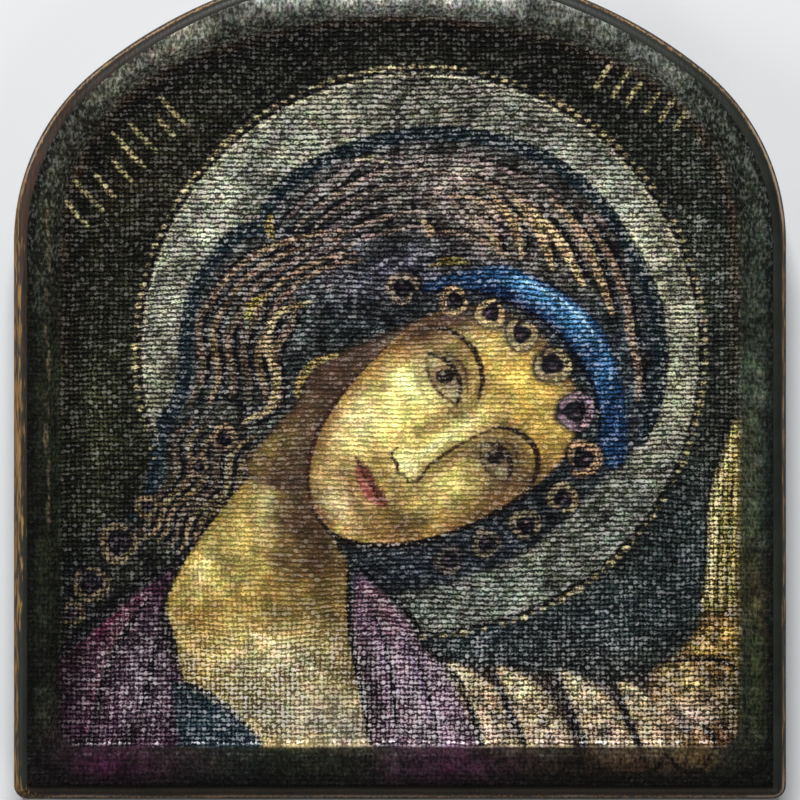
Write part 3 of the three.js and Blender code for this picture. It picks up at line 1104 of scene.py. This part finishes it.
# %% Umber hairline between the waves and the face
TEMPLE = [
    (-24.2, -13.9), (-20.3, -8), (-16.1, -3.3), (-13.8, 2), (-8.6, 4.8), (-0.2, 8.3), (5.8, 10.3),
    (4.7, 5.6), (-6.2, -3), (-12.5, -12.3), (-15.6, -17.3),
]
temple = picture.fill(TEMPLE, "3d2c20", edge=0.7)
picture.touches([
    ((-19.6, -10.4), (6, 2.8), "7d6634", 0.85, 48),
    ((-11.6, -2.4), (6, 2.4), "4c3728", 0.8, 48),
    ((-1, 6), (6, 2), "54453a", 0.8, 18),
], temple)
picture.scumble((2.4, 1.2), 77, 0.4, temple)
picture.stroke("light", [(-16, -2.4), (-15.4, 0.2), (-13.3, 2.8), (-9.6, 4)], 1.3, "94824e", 0.6, 0.2)
neck = np.maximum(neck, temple)
print("hairline covers", int((temple > 0.5).sum()), "points")

# %% Flesh of the face, from dark to light
FACE = [
    (0, 1.02), (0.5, 0.93), (0.86, 0.62), (1.02, 0.15), (1.04, -0.35), (0.98, -0.85), (0.8, -1.35),
    (0.5, -1.75), (0.2, -1.95), (-0.12, -1.98), (-0.42, -1.84), (-0.72, -1.5), (-0.95, -0.95),
    (-1.06, -0.4), (-1.08, 0.15), (-0.92, 0.6), (-0.52, 0.94),
]
face = picture.fill(on_head(FACE), "6f5129", edge=0.5)
head_touches([
    ((-0.42, -0.35), (0.62, 1.05), "a08441", 0.95, 0),
    ((0.1, 0.55), (0.75, 0.42), "a07c36", 0.9, 0),
    ((0.42, -0.75), (0.4, 0.7), "97803f", 0.85, 0),
    ((-0.05, -1.66), (0.42, 0.3), "a5884f", 0.85, 0),
    ((-0.62, -0.62), (0.38, 0.6), "c6b064", 0.92, 8),
    ((-0.1, 0.62), (0.5, 0.22), "b58f44", 0.75, 0),
    ((-0.62, -1.15), (0.3, 0.36), "c3ad74", 0.8, 0),
    ((-0.08, -1.74), (0.26, 0.16), "bca778", 0.8, 0),
    ((0.42, -0.72), (0.26, 0.42), "b59c56", 0.8, 0),
    ((0.98, -0.3), (0.2, 0.9), "4a3119", 0.85, 0),
    ((0.62, -1.35), (0.34, 0.4), "573b1f", 0.8, -40),
    ((-0.9, -1.4), (0.26, 0.44), "6d4425", 0.75, 30),
    ((-1.1, -0.4), (0.26, 0.8), "6b431f", 0.85, 0),
    ((-1.0, 0.35), (0.3, 0.62), "33241f", 0.9, -12),
    ((-0.72, 0.84), (0.6, 0.22), "33261f", 0.88, 28),
    ((0.1, 1.04), (0.7, 0.12), "4a3220", 0.8, 0),
    ((0.0, -1.98), (0.6, 0.12), "53351f", 0.7, 0),
], face)
for side in (-1, 1):
    head_touches([
        ((0.5 * side, -0.1), (0.34, 0.22), "46342a", 0.85, -8 * side),
        ((0.5 * side, 0.17), (0.36, 0.1), "5c4429", 0.6, -10 * side),
    ], face)
head_touches([
    ((0.2, -0.5), (0.1, 0.5), "50391f", 0.75, 0),
    ((-0.22, -0.25), (0.09, 0.28), "6b5230", 0.5, 0),
    ((0.0, -1.1), (0.3, 0.09), "5d4023", 0.6, 0),
    ((0.0, -1.53), (0.24, 0.08), "5d4026", 0.7, 0),
    ((-0.02, -0.45), (0.1, 0.52), "cdb872", 0.9, 0),
    ((-0.02, -0.9), (0.15, 0.12), "d4c184", 0.85, 0),
    ((-0.62, -0.42), (0.26, 0.12), "d6c57f", 0.8, 20),
], face)
picture.scumble((3, 1.5), 81, 0.32, face)
print("face covers", int((face > 0.5).sum()), "points")

# %% Brows and eyes
UMBER = "22150f"
EYE_LINES = (
    # brow, upper lid, crease and lower lid of the eye on the right, in noses
    ([(0.16, 0.06), (0.34, 0.24), (0.62, 0.31), (0.86, 0.22), (1.0, 0.04)], 1.0, UMBER),
    ([(0.24, -0.14), (0.36, -0.01), (0.52, 0.035), (0.68, -0.01), (0.82, -0.13)], 0.9, UMBER),
    ([(0.28, 0.02), (0.5, 0.13), (0.74, 0.05)], 0.5, "3d2a1b"),
    ([(0.25, -0.15), (0.42, -0.225), (0.6, -0.225), (0.78, -0.15)], 0.55, "332115"),
)
UNDER_EYE = [(0.3, -0.31), (0.5, -0.37), (0.7, -0.3)]
for side in (-1, 1):
    for line, width, code in EYE_LINES:
        head_line("dark", [(side * across, up) for across, up in line], width, code, 0.3, 0.3)
    head_line("light", [(side * across, up) for across, up in UNDER_EYE], 0.5, "b39a60")
    looks_at = 0.5 * side - 0.03
    for white in on_head([(looks_at - 0.17, -0.11), (looks_at + 0.17, -0.11)]):
        picture.glaze(white, (1.0, 0.8), "948460", 0.75, within=face)
    iris = on_head([(looks_at, -0.085)])[0]
    picture.dot("dark", iris, 0.25, 2.3, "15100d")
    picture.dot("light", iris + (-0.475, 0.55), 0.075, 0.5, "a99c80")
print("eye lines:", 2 * len(EYE_LINES) + 2)

# %% Nose and mouth, and warmer flesh
NOSE_SIDE = [(0.17, 0.04), (0.12, -0.3), (0.13, -0.68), (0.21, -0.88), (0.17, -1.0)]
NOSTRILS = [(-0.2, -0.88), (-0.17, -0.99), (-0.08, -0.985), (0.0, -1.03), (0.09, -0.985), (0.18, -0.99)]
UPPER_LIP = [(-0.32, -1.32), (-0.14, -1.255), (0.0, -1.275), (0.14, -1.255), (0.3, -1.32), (0.0, -1.35)]
LOWER_LIP = [(-0.26, -1.35), (0.0, -1.345), (0.25, -1.35), (0.12, -1.44), (-0.12, -1.44)]
MOUTH = [(-0.34, -1.31), (-0.14, -1.345), (0.0, -1.33), (0.14, -1.345), (0.32, -1.31)]
head_line("dark", NOSE_SIDE, 0.6, "402817", 0.4, 0.6)
head_line("dark", NOSTRILS, 0.65, "352014", 0.3, 0.4)
head_line("light", [(-0.03, 0.0), (-0.03, -0.4), (-0.04, -0.8)], 0.6, "d9c98f", 0.2, 0.4)
picture.fill(on_head(UPPER_LIP), "4d261d", edge=0.3, covers=False)
picture.fill(on_head(LOWER_LIP), "6f3a2d", edge=0.3, covers=False)
head_line("dark", MOUTH, 0.55, "2c120d", 0.3, 0.3)
neck_warmth = neck[:, None] * (0.07, 0.10, 0.14)
face_warmth = (face * (1 - neck))[:, None] * (0.16, 0.24, 0.30)
picture.colour *= 1 + neck_warmth + face_warmth
print("features painted")

# %% Small lights, and the line of the cheek and jaw
for offset in (0.0, 0.08, 0.16):
    brow_light = [(-0.72 - offset, 0.3 - offset / 2), (-0.5, 0.42 + offset), (-0.26, 0.44 + offset)]
    cheek_light = [(-0.86, -0.42 - offset), (-0.66, -0.52 - offset), (-0.46, -0.5 - offset)]
    head_line("light", brow_light, 0.42, "c9b678")
    head_line("light", cheek_light, 0.45, "dccd8e")
head_line("light", [(-0.12, -1.5), (0.0, -1.52), (0.12, -1.5)], 0.4, "b9a06c")
head_line("light", [(-0.2, -1.72), (-0.05, -1.78), (0.1, -1.74)], 0.45, "cdb986")
head_line("dark", FACE[3:10], 0.9, "18100d", 0.3, 0.7)
head_line("dark", FACE[9:14], 0.75, "2f1b12", 0.7, 0.2)
print("face finished")

# %% [markdown]
# ### Curls round the face
#
# A row of ring curls follows the ribbon over the forehead and goes on down the far cheek to the chin.

# %% Curls along the forehead and the far cheek
ring_curls((
    ((0.4, 14.2), 2.4, "7c6f62"), ((8.4, 12.2), 2.2, "a08868"), ((14.2, 10.4), 2.2, "a89268"),
    ((19.0, 7.2), 2.3, "9b8a66"), ((23.8, 2.6), 2.7, "8a7c5c"), ((27.3, -4.6), 2.8, "86707a"),
    ((28.4, -12.0), 2.7, "94785a"), ((25.2, -18.2), 2.3, "7b6f52"), ((19.4, -22.4), 2.3, "6a6250"),
    ((13.4, -25.4), 2.2, "625c4c"), ((7.6, -28.0), 2.1, "524c46"),
), 40)

# %% [markdown]
# ### Rim
#
# The picture runs out over the rim, under a dark overpaint: green-grey round the arch, with a painted
# sheen that makes it lighter towards the crown, and plum and brown along the foot, with a few lumps of
# old varnish at its right end. Here the ground was laid on thick, so brush marks show instead of
# threads. Round the arch the slope inside the lip is brown, and a band of painted shade follows it.
# At the left, a broken line of dull ochre patches runs along the lip.

# %% Overpaint of the rim
overpaint = Picture(picture.x, picture.y)
overpaint.colour[:] = paint_colour("181b13")
overpaint.touches([
    # painted sheen: lighter along the top of the arch, brightest at its crown
    ((0, 64), (62, 14), "4d4f46", 0.9),
    ((-38, 50), (16, 6), "949080", 0.8, 45),
    ((38, 50), (14, 6), "5e6058", 0.8, -45),
    ((-3, 61), (34, 4.5), "c8cac2", 0.97),
    ((-56, 40), (16, 30), "37382b", 0.8),
    ((-57, -10), (5, 40), "151910", 0.8),
    ((58, 0), (5, 60), "424b3e", 0.9),
    ((58, -40), (5, 26), "0e1a17", 0.8),
    ((0, -66), (80, 10), "141610", 1.0),
    ((-45, -62), (9, 8), "301226", 0.9),
    ((-32, -62), (4, 6), "28161a", 0.6),
    ((8, -62), (11, 8), "2f1225", 0.9),
    ((34, -62), (15, 7), "140c08", 0.9),
    ((35, -59), (5, 1.8), "38281a", 0.85),
    ((45, -58), (3.2, 2.2), "4a391d", 0.85),
    ((56, -32), (2.6, 6), "4a3a22", 0.6),
    ((56, -46), (2.6, 9), "303620", 0.7),
    ((0, -65), (34, 2.0), "3a1d14", 0.85),
])
overpaint.scumble((5, 2.2, 1.1), 91, 0.9)
print("overpaint, mean", overpaint.colour.mean(axis=0).round(3))

# %% How far each point lies inside the recess, and shares round its lip
WHOLE_LINEN = 90.0  # a reach that takes in every point
OUTLINE_STEP = 6
recess_outline = arch_outline(RECESS_SHAPE, 0)[::OUTLINE_STEP] / MM
_, inside_lip = picture.depth_inside(recess_outline, WHOLE_LINEN)
foot_side = step_between(-53, -56, picture.y)
round_arch = step_between(2.1, 0.8, inside_lip)
at_foot = step_between(2.0, 1.4, inside_lip)
rim_share = round_arch + (at_foot - round_arch) * foot_side
outer_rim = step_between(-1.8, -3.2, inside_lip) * step_between(56, 40, picture.y)
brown_slope = bell(inside_lip, 2.0, 1.0) * (1 - foot_side) * step_between(-20, 20, picture.y)
lip_shadow = 0.45 * step_between(1.0, 2.5, inside_lip) * step_between(7.5, 3.0, inside_lip)
lip_shadow *= 1 - 0.8 * step_between(20, 45, picture.x)
print("points on the rim:", int((rim_share > 0.5).sum()))

# %% Rim, slope and lip painted
BROWN_SLOPE = paint_colour("43301f")
overpaint.colour *= (1 - 0.6 * outer_rim)[:, None]
picture.blend(BROWN_SLOPE * (1 + 0.6 * picture.mottle(1.4, 97))[:, None], 0.55 * brown_slope)
picture.colour *= (1 - lip_shadow * step_between(-52, -44, picture.y))[:, None]
picture.blend(overpaint.colour, 0.86 * rim_share)
for field, _ in picture.strokes.values():
    field += 0.5 * rim_share
print("overpaint laid on")

# %% Ochre patches along the lip at the left, and lumps of varnish at the right end of the foot
LIP_X, LIP_TOP, LIP_STEP = -54.5, 27, 5.6
LIP_PATCHES = 9
SCALLOPS = (
    [(29.6, -59.6), (34.8, -61.6), (39.6, -60), (41, -57.6)],
    [(41, -57.6), (43.4, -60.2), (46.4, -60.4), (48.8, -57)],
    [(47, -53.4), (48.4, -55.2), (49.2, -57.2)],
)
for index in range(LIP_PATCHES):
    top = LIP_TOP - LIP_STEP * index
    middle = LIP_X + 0.25 * math.sin(1.9 * index)
    lip_mark = [(middle, top), (middle - 0.2, top - 2.4), (middle + 0.1, top - 4.9)]
    width = 0.6 + 0.15 * math.sin(2.3 * index)
    picture.stroke("light", lip_mark, width, ("564d39", "463f30")[index % 2], 0.5, 0.3)
for scallop in SCALLOPS:
    picture.stroke("dark", scallop, 0.8, "0c0906", 0.4, 0.4)
print("rubbed patches and lumps:", LIP_PATCHES, len(SCALLOPS))

# %% [markdown]
# ### Painting onto the mesh
#
# The picture becomes attributes of the linen, which the material reads: the soft colour, the two
# layers of strokes, and shares that say how the surface is. The foot sheen marks a painted sheen of
# pale streaks on the threads at the foot of the picture. There and outside the halo the upright
# threads lie as high as the others, and elsewhere they lie lower.

# %% Painting onto the mesh
def light_of(colour):
    """Display colour as linear light, with a full alpha."""
    linear = np.where(colour <= 0.04045, colour / 12.92, ((np.maximum(colour, 0) + 0.055) / 1.055) ** 2.4)
    return np.column_stack([linear, np.ones(len(linear))])


FURTHEST = 3  # stroke distances past this are cut off
# Where a painted sheen lies on the threads at the foot of the picture.
foot_sheen = step_between(-32, -48, picture.y) * step_between(-52, -34, picture.x) * (1 - rim_share)
foot_sheen *= 0.8 + 0.35 * picture.mottle(7, 95) + 0.2 * picture.mottle(2.5, 96)
foot_sheen *= step_between(54, 26, picture.x) * (1 - 0.5 * tunic) * (1 - 0.6 * step_between(3.6, 2.2, inside_lip))
beyond_halo = np.hypot(picture.x - HALO_CENTRE[0], picture.y - HALO_CENTRE[1]) - HALO_RADIUS
stroke_fields = [np.minimum(picture.strokes[layer][0], FURTHEST) for layer in ("dark", "light")]
for name, colour in (
    ("paint", np.clip(picture.colour, 0, 1)),
    ("dark_paint", picture.strokes["dark"][1]),
    ("light_paint", picture.strokes["light"][1]),
):
    keep_values(linen, name, light_of(colour), "FLOAT_COLOR", "color")
keep_values(linen, "strokes", np.column_stack(stroke_fields + [foot_sheen]), "FLOAT_VECTOR", "vector")
keep_values(linen, "warp_shows", np.maximum(foot_sheen, 0.8 * step_between(0.5, 3, beyond_halo)))
keep_values(linen, "on_rim", rim_share)
keep_values(linen, "thick_paint", np.maximum(face, neck) * (1 - 0.7 * foot_sheen))
print("painted", len(places), "points")

# %% [markdown]
# ## The weave
#
# The linen is a plain weave: each thread passes over one and under the next. The group below works
# that out from Object coordinates: a rounded profile across every thread, a wave along it, and the
# higher of weft and warp wins. Warp Share says how high the upright threads lie beside the weft. The
# coordinates wander a little first, because no real row is straight. Each crossing also gets a number
# of its own, because the ground fills some more than others. The group puts out the height for a
# bump, and masks for the crowns, which catch pale strokes and take a painted highlight, for the few
# crowns that shine most, and for the gaps, which take painted shade.


# %% Helpers that add and join shader nodes
class Wiring:
    """Adds nodes to one tree. A number sets a socket, and another node's output is linked to it."""

    def __init__(self, tree):
        self.tree = tree

    def feed(self, made, values):
        """Set or link the sockets of a node."""
        for name, value in values.items():
            if isinstance(value, bpy.types.NodeSocket):
                self.tree.links.new(value, made.inputs[name])
            else:
                made.inputs[name].default_value = value

    def node(self, kind, inputs, **settings):
        """A node with its settings and its inputs."""
        made = self.tree.nodes.new("ShaderNode" + kind)
        for name, value in settings.items():
            setattr(made, name, value)
        self.feed(made, inputs)
        return made

    def object_place(self):
        """Object coordinates."""
        return self.node("TexCoord", {}).outputs["Object"]

    def attribute(self, name, output="Fac"):
        """Values kept on the piece's vertices."""
        return self.node("Attribute", {}, attribute_name=name).outputs[output]

    def maths(self, operation, first, second=0.0, clamp=False):
        """A sum of one or two values."""
        return self.node("Math", {0: first, 1: second}, operation=operation, use_clamp=clamp).outputs[0]

    def scaled(self, value, factor, offset, clamp=False):
        """value * factor + offset"""
        inputs = {0: value, 1: factor, 2: offset}
        return self.node("Math", inputs, operation="MULTIPLY_ADD", use_clamp=clamp).outputs[0]

    def times(self, first, *others):
        """A product."""
        for other in others:
            first = self.maths("MULTIPLY", first, other)
        return first

    def less(self, value, share):
        """1 where value is 0, and less by `share` where it is 1."""
        return self.scaled(value, -share, 1.0)

    def off_middle(self, value, factor, base):
        """`base` with the part of value above or below 0.5 added, times factor."""
        return self.scaled(self.maths("SUBTRACT", value, 0.5), factor, base)

    def soft_step(self, value, low, high):
        """0 where value is at low, 1 where it is at high, smooth between."""
        inputs = {"Value": value, "From Min": low, "From Max": high}
        return self.node("MapRange", inputs, interpolation_type="SMOOTHSTEP").outputs["Result"]

    def stretched(self, place, scale, turn=0.0):
        """Coordinates turned about Z and scaled: noise on them is drawn out where the scale is small."""
        inputs = {"Vector": place, "Rotation": (0, 0, turn), "Scale": scale}
        return self.node("Mapping", inputs).outputs[0]

    def noise(self, place, scale, detail=2.0, output="Fac", distortion=0.0):
        """Noise with features about 1 / scale metres across."""
        inputs = {"Vector": place, "Scale": scale, "Detail": detail, "Distortion": distortion}
        return self.node("TexNoise", inputs).outputs[output]

    def mixed(self, share, first, second, blend="MIX"):
        """Two colours mixed."""
        inputs = {0: share, 6: first, 7: second}
        return self.node("Mix", inputs, data_type="RGBA", blend_type=blend).outputs[2]

    def two_tones(self, share, low, high):
        """A colour that runs from one (position, colour) to another."""
        made = self.node("ValToRGB", {"Fac": share})
        for stop, (position, colour) in zip(made.color_ramp.elements, (low, high)):
            stop.position = position
            stop.color = colour
        return made.outputs["Color"]


def new_group(name, inputs, outputs):
    """An empty shader group with number inputs and number outputs."""
    group = bpy.data.node_groups.new(name, "ShaderNodeTree")
    for label, value in inputs.items():
        socket = group.interface.new_socket(label, in_out="INPUT", socket_type="NodeSocketFloat")
        socket.default_value = value
    for label in outputs:
        group.interface.new_socket(label, in_out="OUTPUT", socket_type="NodeSocketFloat")
    given = group.nodes.new("NodeGroupInput").outputs
    return group, Wiring(group), given, group.nodes.new("NodeGroupOutput")


def new_material(name):
    """A material with its wiring and its shader."""
    material = bpy.data.materials.new(name)
    material.use_nodes = True
    return material, Wiring(material.node_tree), material.node_tree.nodes["Principled BSDF"]

# %% Group: plain weave, the wandering rows
THREAD_PITCH = 0.74 * MM
WANDERINGS = ((55.0, 1.7), (190.0, 0.6), (1300.0, 0.35), (3200.0, 0.3))  # scale of the noise, share
weave, wire, given, result = new_group(
    "plain_weave",
    {"Pitch": THREAD_PITCH, "Wander": 1.0 * MM, "Warp Share": 0.6},
    ("Height", "Crown", "Spark", "Gap"),
)
place = wire.object_place()
wandering = place
for scale, share in WANDERINGS:
    drift = wire.noise(place, scale, 1.0, "Color")
    centred = wire.node("VectorMath", {0: drift, 1: (0.5, 0.5, 0.5)}, operation="SUBTRACT").outputs[0]
    amount = wire.times(given["Wander"], share)
    bend = wire.node("VectorMath", {0: centred, "Scale": amount}, operation="SCALE").outputs[0]
    wandering = wire.node("VectorMath", {0: wandering, 1: bend}, operation="ADD").outputs[0]
parts = wire.node("SeparateXYZ", {0: wandering}).outputs
across = wire.maths("DIVIDE", parts["X"], given["Pitch"])
upward = wire.maths("DIVIDE", parts["Y"], given["Pitch"])
print("nodes so far:", len(weave.nodes))

# %% Group: plain weave, the threads
threads = []
for along, aside, waviness in ((across, upward, 0.1), (upward, across, 0.5)):
    odd = wire.maths("PINGPONG", wire.maths("FLOOR", aside), 1.0)
    over_or_under = wire.scaled(odd, -2.0, 1.0)
    turn = wire.scaled(along, math.pi, -math.pi / 2)
    wave = wire.times(wire.maths("COSINE", turn), over_or_under)
    from_middle = wire.scaled(wire.maths("FRACT", aside), 2.0, -1.0)
    profile = wire.maths("SUBTRACT", 1.0, wire.times(from_middle, from_middle), clamp=True)
    threads.append(wire.scaled(wave, waviness, wire.times(profile, 1 - waviness)))
weft, warp = threads
warp_profile = profile
top = wire.maths("MAXIMUM", weft, wire.times(warp, given["Warp Share"]))
gap_between_warps = wire.scaled(given["Warp Share"], 0.8, -0.36)
top = wire.scaled(wire.maths("SUBTRACT", warp_profile, 0.67), gap_between_warps, top)
print("nodes so far:", len(weave.nodes))

# %% Group: plain weave, uneven threads and the masks
crossing = wire.node("CombineXYZ", {0: wire.maths("FLOOR", across), 1: wire.maths("FLOOR", upward)})
chance = wire.node("TexWhiteNoise", {"Vector": crossing.outputs[0]}, noise_dimensions="3D").outputs["Value"]
slub = wire.noise(wire.stretched(wandering, (0.4, 1.0, 1.0)), 1700.0, 1.0)
grit = wire.noise(place, 3200.0)
uneven = wire.off_middle(slub, 1.0, top)
uneven = wire.off_middle(grit, 2.1, uneven)
uneven = wire.off_middle(chance, 0.45, uneven)
wire.feed(result, {
    "Height": wire.scaled(uneven, 0.6, 0.3, clamp=True),
    "Crown": wire.soft_step(uneven, 0.6, 1.05),
    "Spark": wire.times(wire.soft_step(uneven, 0.8, 1.15), wire.soft_step(chance, 0.1, 0.8)),
    "Gap": wire.soft_step(uneven, 0.75, 0.3),
})
print("weave nodes:", len(weave.nodes))

# %% [markdown]
# ## Painted linen
#
# Colour comes from the painting's own attributes. The two layers of strokes are stored as how far
# each point lies from the nearest stroke's edge, so the shader can cut a sharp edge between points.
# Pale strokes are dragged over the threads and catch mostly their crowns. Then shade is painted into
# the gaps and a highlight onto the crowns. The rim gets the grain of a brush in place of threads,
# darker in its low parts, with flecks that a painted sheen makes lighter and greyer up the arch. Last
# come painted glints on single crowns and a painted sheen of pale streaks at the foot of the picture.
# On the flesh the paint is thick, so the threads show less.

# %% Material: painted linen, ground and strokes
painted, wire, shader = new_material("painted_linen")
place = wire.object_place()
rim_here = wire.attribute("on_rim")
thick = wire.attribute("thick_paint")
paint = wire.attribute("paint", "Color")
strokes = wire.node("SeparateXYZ", {0: wire.attribute("strokes", "Vector")}).outputs
foot_sheen = strokes["Z"]
warp_share = wire.scaled(wire.attribute("warp_shows"), 0.4, 0.6)
cloth = wire.node("Group", {}, node_tree=weave)
wire.feed(cloth, {"Pitch": THREAD_PITCH, "Warp Share": warp_share})
crown, spark = cloth.outputs["Crown"], cloth.outputs["Spark"]
ragged = wire.scaled(wire.noise(place, 1500.0), 0.5, -0.25)
colour = paint
for layer, output, on_crowns, in_gaps in (("dark", "X", -0.2, 1.0), ("light", "Y", 0.35, 0.65)):
    field = wire.maths("ADD", strokes[output], ragged)
    caught = wire.scaled(crown, on_crowns, in_gaps, clamp=True)
    share = wire.times(wire.soft_step(field, 0.2, -0.2), caught)
    colour = wire.mixed(share, colour, wire.attribute(layer + "_paint", "Color"))
patch = wire.noise(place, 260.0, 4.0)
rows = wire.noise(wire.stretched(place, (0.12, 1.0, 1.0)), 1100.0, 1.0)
shade = wire.scaled(patch, 0.9, wire.scaled(rows, 0.7, 0.25))
tone = wire.node("CombineColor", {0: shade, 1: shade, 2: shade}).outputs[0]
colour = wire.mixed(1.0, colour, tone, "MULTIPLY")
tints = wire.mixed(1.0, wire.noise(place, 700.0, 2.0, "Color"), (2, 2, 2, 1), "MULTIPLY")
colour = wire.mixed(0.28, colour, wire.mixed(1.0, colour, tints, "MULTIPLY"))
print("nodes so far:", len(painted.node_tree.nodes))

# %% Material: painted linen, gaps, crowns and the rim
GAP_SHADE = (0.002, 0.002, 0.003, 1)
RIM_LOW_TONE = (0.002, 0.002, 0.002, 1)
RIM_FLECK_SHEEN = (0.26, 0.28, 0.27, 1)
cover = wire.times(wire.less(rim_here, 0.75), wire.less(thick, 0.62))
# Painted shade: the gaps between the threads are darkened.
colour = wire.mixed(wire.times(cloth.outputs["Gap"], 0.88, cover), colour, GAP_SHADE)
# Painted highlight: the crowns of the threads take a lighter copy of the paint.
lit = wire.mixed(1.0, colour, (2.1, 2.1, 2.1, 1), "MULTIPLY")
lit_share = wire.times(crown, wire.less(thick, 0.3), wire.less(rim_here, 0.8))
colour = wire.mixed(lit_share, colour, lit)
sand = wire.noise(wire.stretched(place, (1.0, 0.5, 1.0), turn=0.5), 2500.0, 3.0)
# The low parts of the rim's brush grain are darker.
colour = wire.mixed(wire.times(wire.soft_step(sand, 0.52, 0.38), rim_here, 0.64), colour, RIM_LOW_TONE)
# The rim's flecks get a painted sheen that grows lighter and greyer up the arch.
upper_side = wire.soft_step(wire.node("SeparateXYZ", {0: place}).outputs["Y"], 0.0, 40 * MM)
fleck = wire.times(wire.soft_step(sand, 0.5, 0.66), rim_here)
colour = wire.mixed(wire.times(fleck, wire.scaled(upper_side, 0.4, 0.6)), colour, lit)
colour = wire.mixed(wire.times(fleck, upper_side, 0.26), colour, RIM_FLECK_SHEEN)
print("nodes so far:", len(painted.node_tree.nodes))

# %% Material: painted linen, glints, gloss and relief
PALE_GLINT = (0.62, 0.59, 0.58, 1)
paint_light = wire.node("RGBToBW", {0: paint}).outputs[0]
# Painted glints: single crowns turned pale, more over pale paint and at the foot.
glint = wire.scaled(wire.soft_step(paint_light, 0.008, 0.06), 0.35, 0.1)
glint = wire.scaled(foot_sheen, 0.35, glint)
glint = wire.times(glint, wire.less(rim_here, 0.9), wire.less(thick, 0.55))
# Painted sheen at the foot: pale streaks over the crowns, stronger over pale paint.
off_ridge = wire.maths("ABSOLUTE", wire.maths("SUBTRACT", wire.noise(place, 1200.0, 1.0), 0.5))
sheen_streaks = wire.soft_step(off_ridge, 0.07, 0.015)
on_pale = wire.scaled(wire.soft_step(paint_light, 0.0, 0.12), 0.6, 0.25)
sheen_flecks = wire.times(crown, wire.scaled(sheen_streaks, 0.6, 0.48), foot_sheen, on_pale)
colour = wire.mixed(wire.maths("MAXIMUM", wire.times(spark, glint), sheen_flecks), colour, PALE_GLINT)
gloss = wire.scaled(spark, -0.25, wire.scaled(patch, 0.3, 0.35))
thread_share = wire.times(wire.less(rim_here, 0.85), wire.less(thick, 0.5))
threads_height = wire.times(cloth.outputs["Height"], thread_share)
relief = wire.scaled(sand, wire.scaled(rim_here, 0.9, 0.2), threads_height)
bump = wire.node("Bump", {"Strength": 1.0, "Distance": 0.5 * MM, "Height": relief})
wire.feed(shader, {
    "Base Color": colour,
    "Roughness": wire.scaled(rim_here, 0.3, gloss),
    "Coat Weight": wire.times(spark, wire.scaled(foot_sheen, 0.6, 0.3), wire.less(rim_here, 0.9)),
    "Coat Roughness": 0.22,
    "Specular IOR Level": 0.08,
    "Normal": bump.outputs["Normal"],
})
linen.data.materials.clear()
linen.data.materials.append(painted)
print("painted linen nodes:", len(painted.node_tree.nodes))

# %% [markdown]
# ## Wood
#
# The board is stained dark, almost black-green, and bare golden wood shows where the arris is rubbed
# and over the back. The grain runs up the board: noise drawn out along Y gives the streaks, and the
# same streaks break up the edge of the stain. The most worn places have gone pale and grey.

# %% Group: wood fibre
fibre, wire, given, result = new_group("wood_fibre", {"Streak": 3000.0}, ("Tone", "Height"))
drawn = wire.stretched(wire.object_place(), (1.0, 0.1, 1.0))
fine = wire.noise(drawn, given["Streak"], 3.0)
broad = wire.noise(drawn, 300.0, distortion=0.4)
contrast = wire.off_middle(fine, 1.6, 0.3)
wire.feed(result, {"Tone": wire.scaled(broad, 0.4, contrast, clamp=True), "Height": fine})
print("wood fibre nodes:", len(fibre.nodes))

# %% Material: stained wood
THIN_STAIN = (0.048, 0.020, 0.012, 1)
GREYED_WOOD = (0.36, 0.29, 0.23, 1)
stained, wire, shader = new_material("dark_stained_wood")
place = wire.object_place()
grain = wire.node("Group", {}, node_tree=fibre).outputs
golden = wire.two_tones(grain["Tone"], (0.32, (0.035, 0.013, 0.005, 1)), (0.75, (0.27, 0.15, 0.05, 1)))
cloudy = wire.noise(place, 180.0, 4.0)
stain = wire.two_tones(cloudy, (0.0, (0.006, 0.008, 0.005, 1)), (1.0, (0.020, 0.022, 0.016, 1)))
thin_share = wire.times(wire.attribute("brown"), wire.soft_step(grain["Tone"], 0.3, 0.7))
stain_colour = wire.mixed(thin_share, stain, THIN_STAIN)
worn = wire.attribute("bare")
back = wire.soft_step(wire.node("SeparateXYZ", {0: place}).outputs["Z"], 0.5 * MM, 0.1 * MM)
broken = wire.off_middle(grain["Tone"], 1.1, worn)
scattered = wire.off_middle(cloudy, 0.7, broken)
bare = wire.maths("MAXIMUM", wire.soft_step(scattered, 0.55, 0.85), back)
wood_colour = wire.mixed(wire.times(wire.soft_step(worn, 0.75, 1.15), 0.8), golden, GREYED_WOOD)
bump = wire.node("Bump", {"Strength": 0.6, "Distance": 0.08 * MM, "Height": grain["Height"]})
wire.feed(shader, {
    "Base Color": wire.mixed(bare, stain_colour, wood_colour),
    "Roughness": wire.scaled(bare, 0.25, wire.scaled(cloudy, 0.4, 0.25)),
    "Specular IOR Level": 0.25,
    "Normal": bump.outputs["Normal"],
})
board.data.materials.clear()
board.data.materials.append(stained)
print("stained wood nodes:", len(stained.node_tree.nodes))

# %% [markdown]
# ## Finish
#
# Both pieces are shaded smooth where the faces meet gently and sharp at the linen's cut edge. Each
# piece stands for one solid and rides on the one body.

# %% Shade, ride and finish
SMOOTH_BELOW = math.radians(50)
for piece, solid, slot in (
    (board, "wood_board", "dark_stained_wood"),
    (linen, "painted_canvas", "varnished_painted_linen"),
):
    select_only(piece)
    bpy.ops.object.shade_smooth_by_angle(angle=SMOOTH_BELOW)
    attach(piece, "root")
    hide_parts(solid)
    print(piece.name, "has", triangles_of(piece), "triangles")
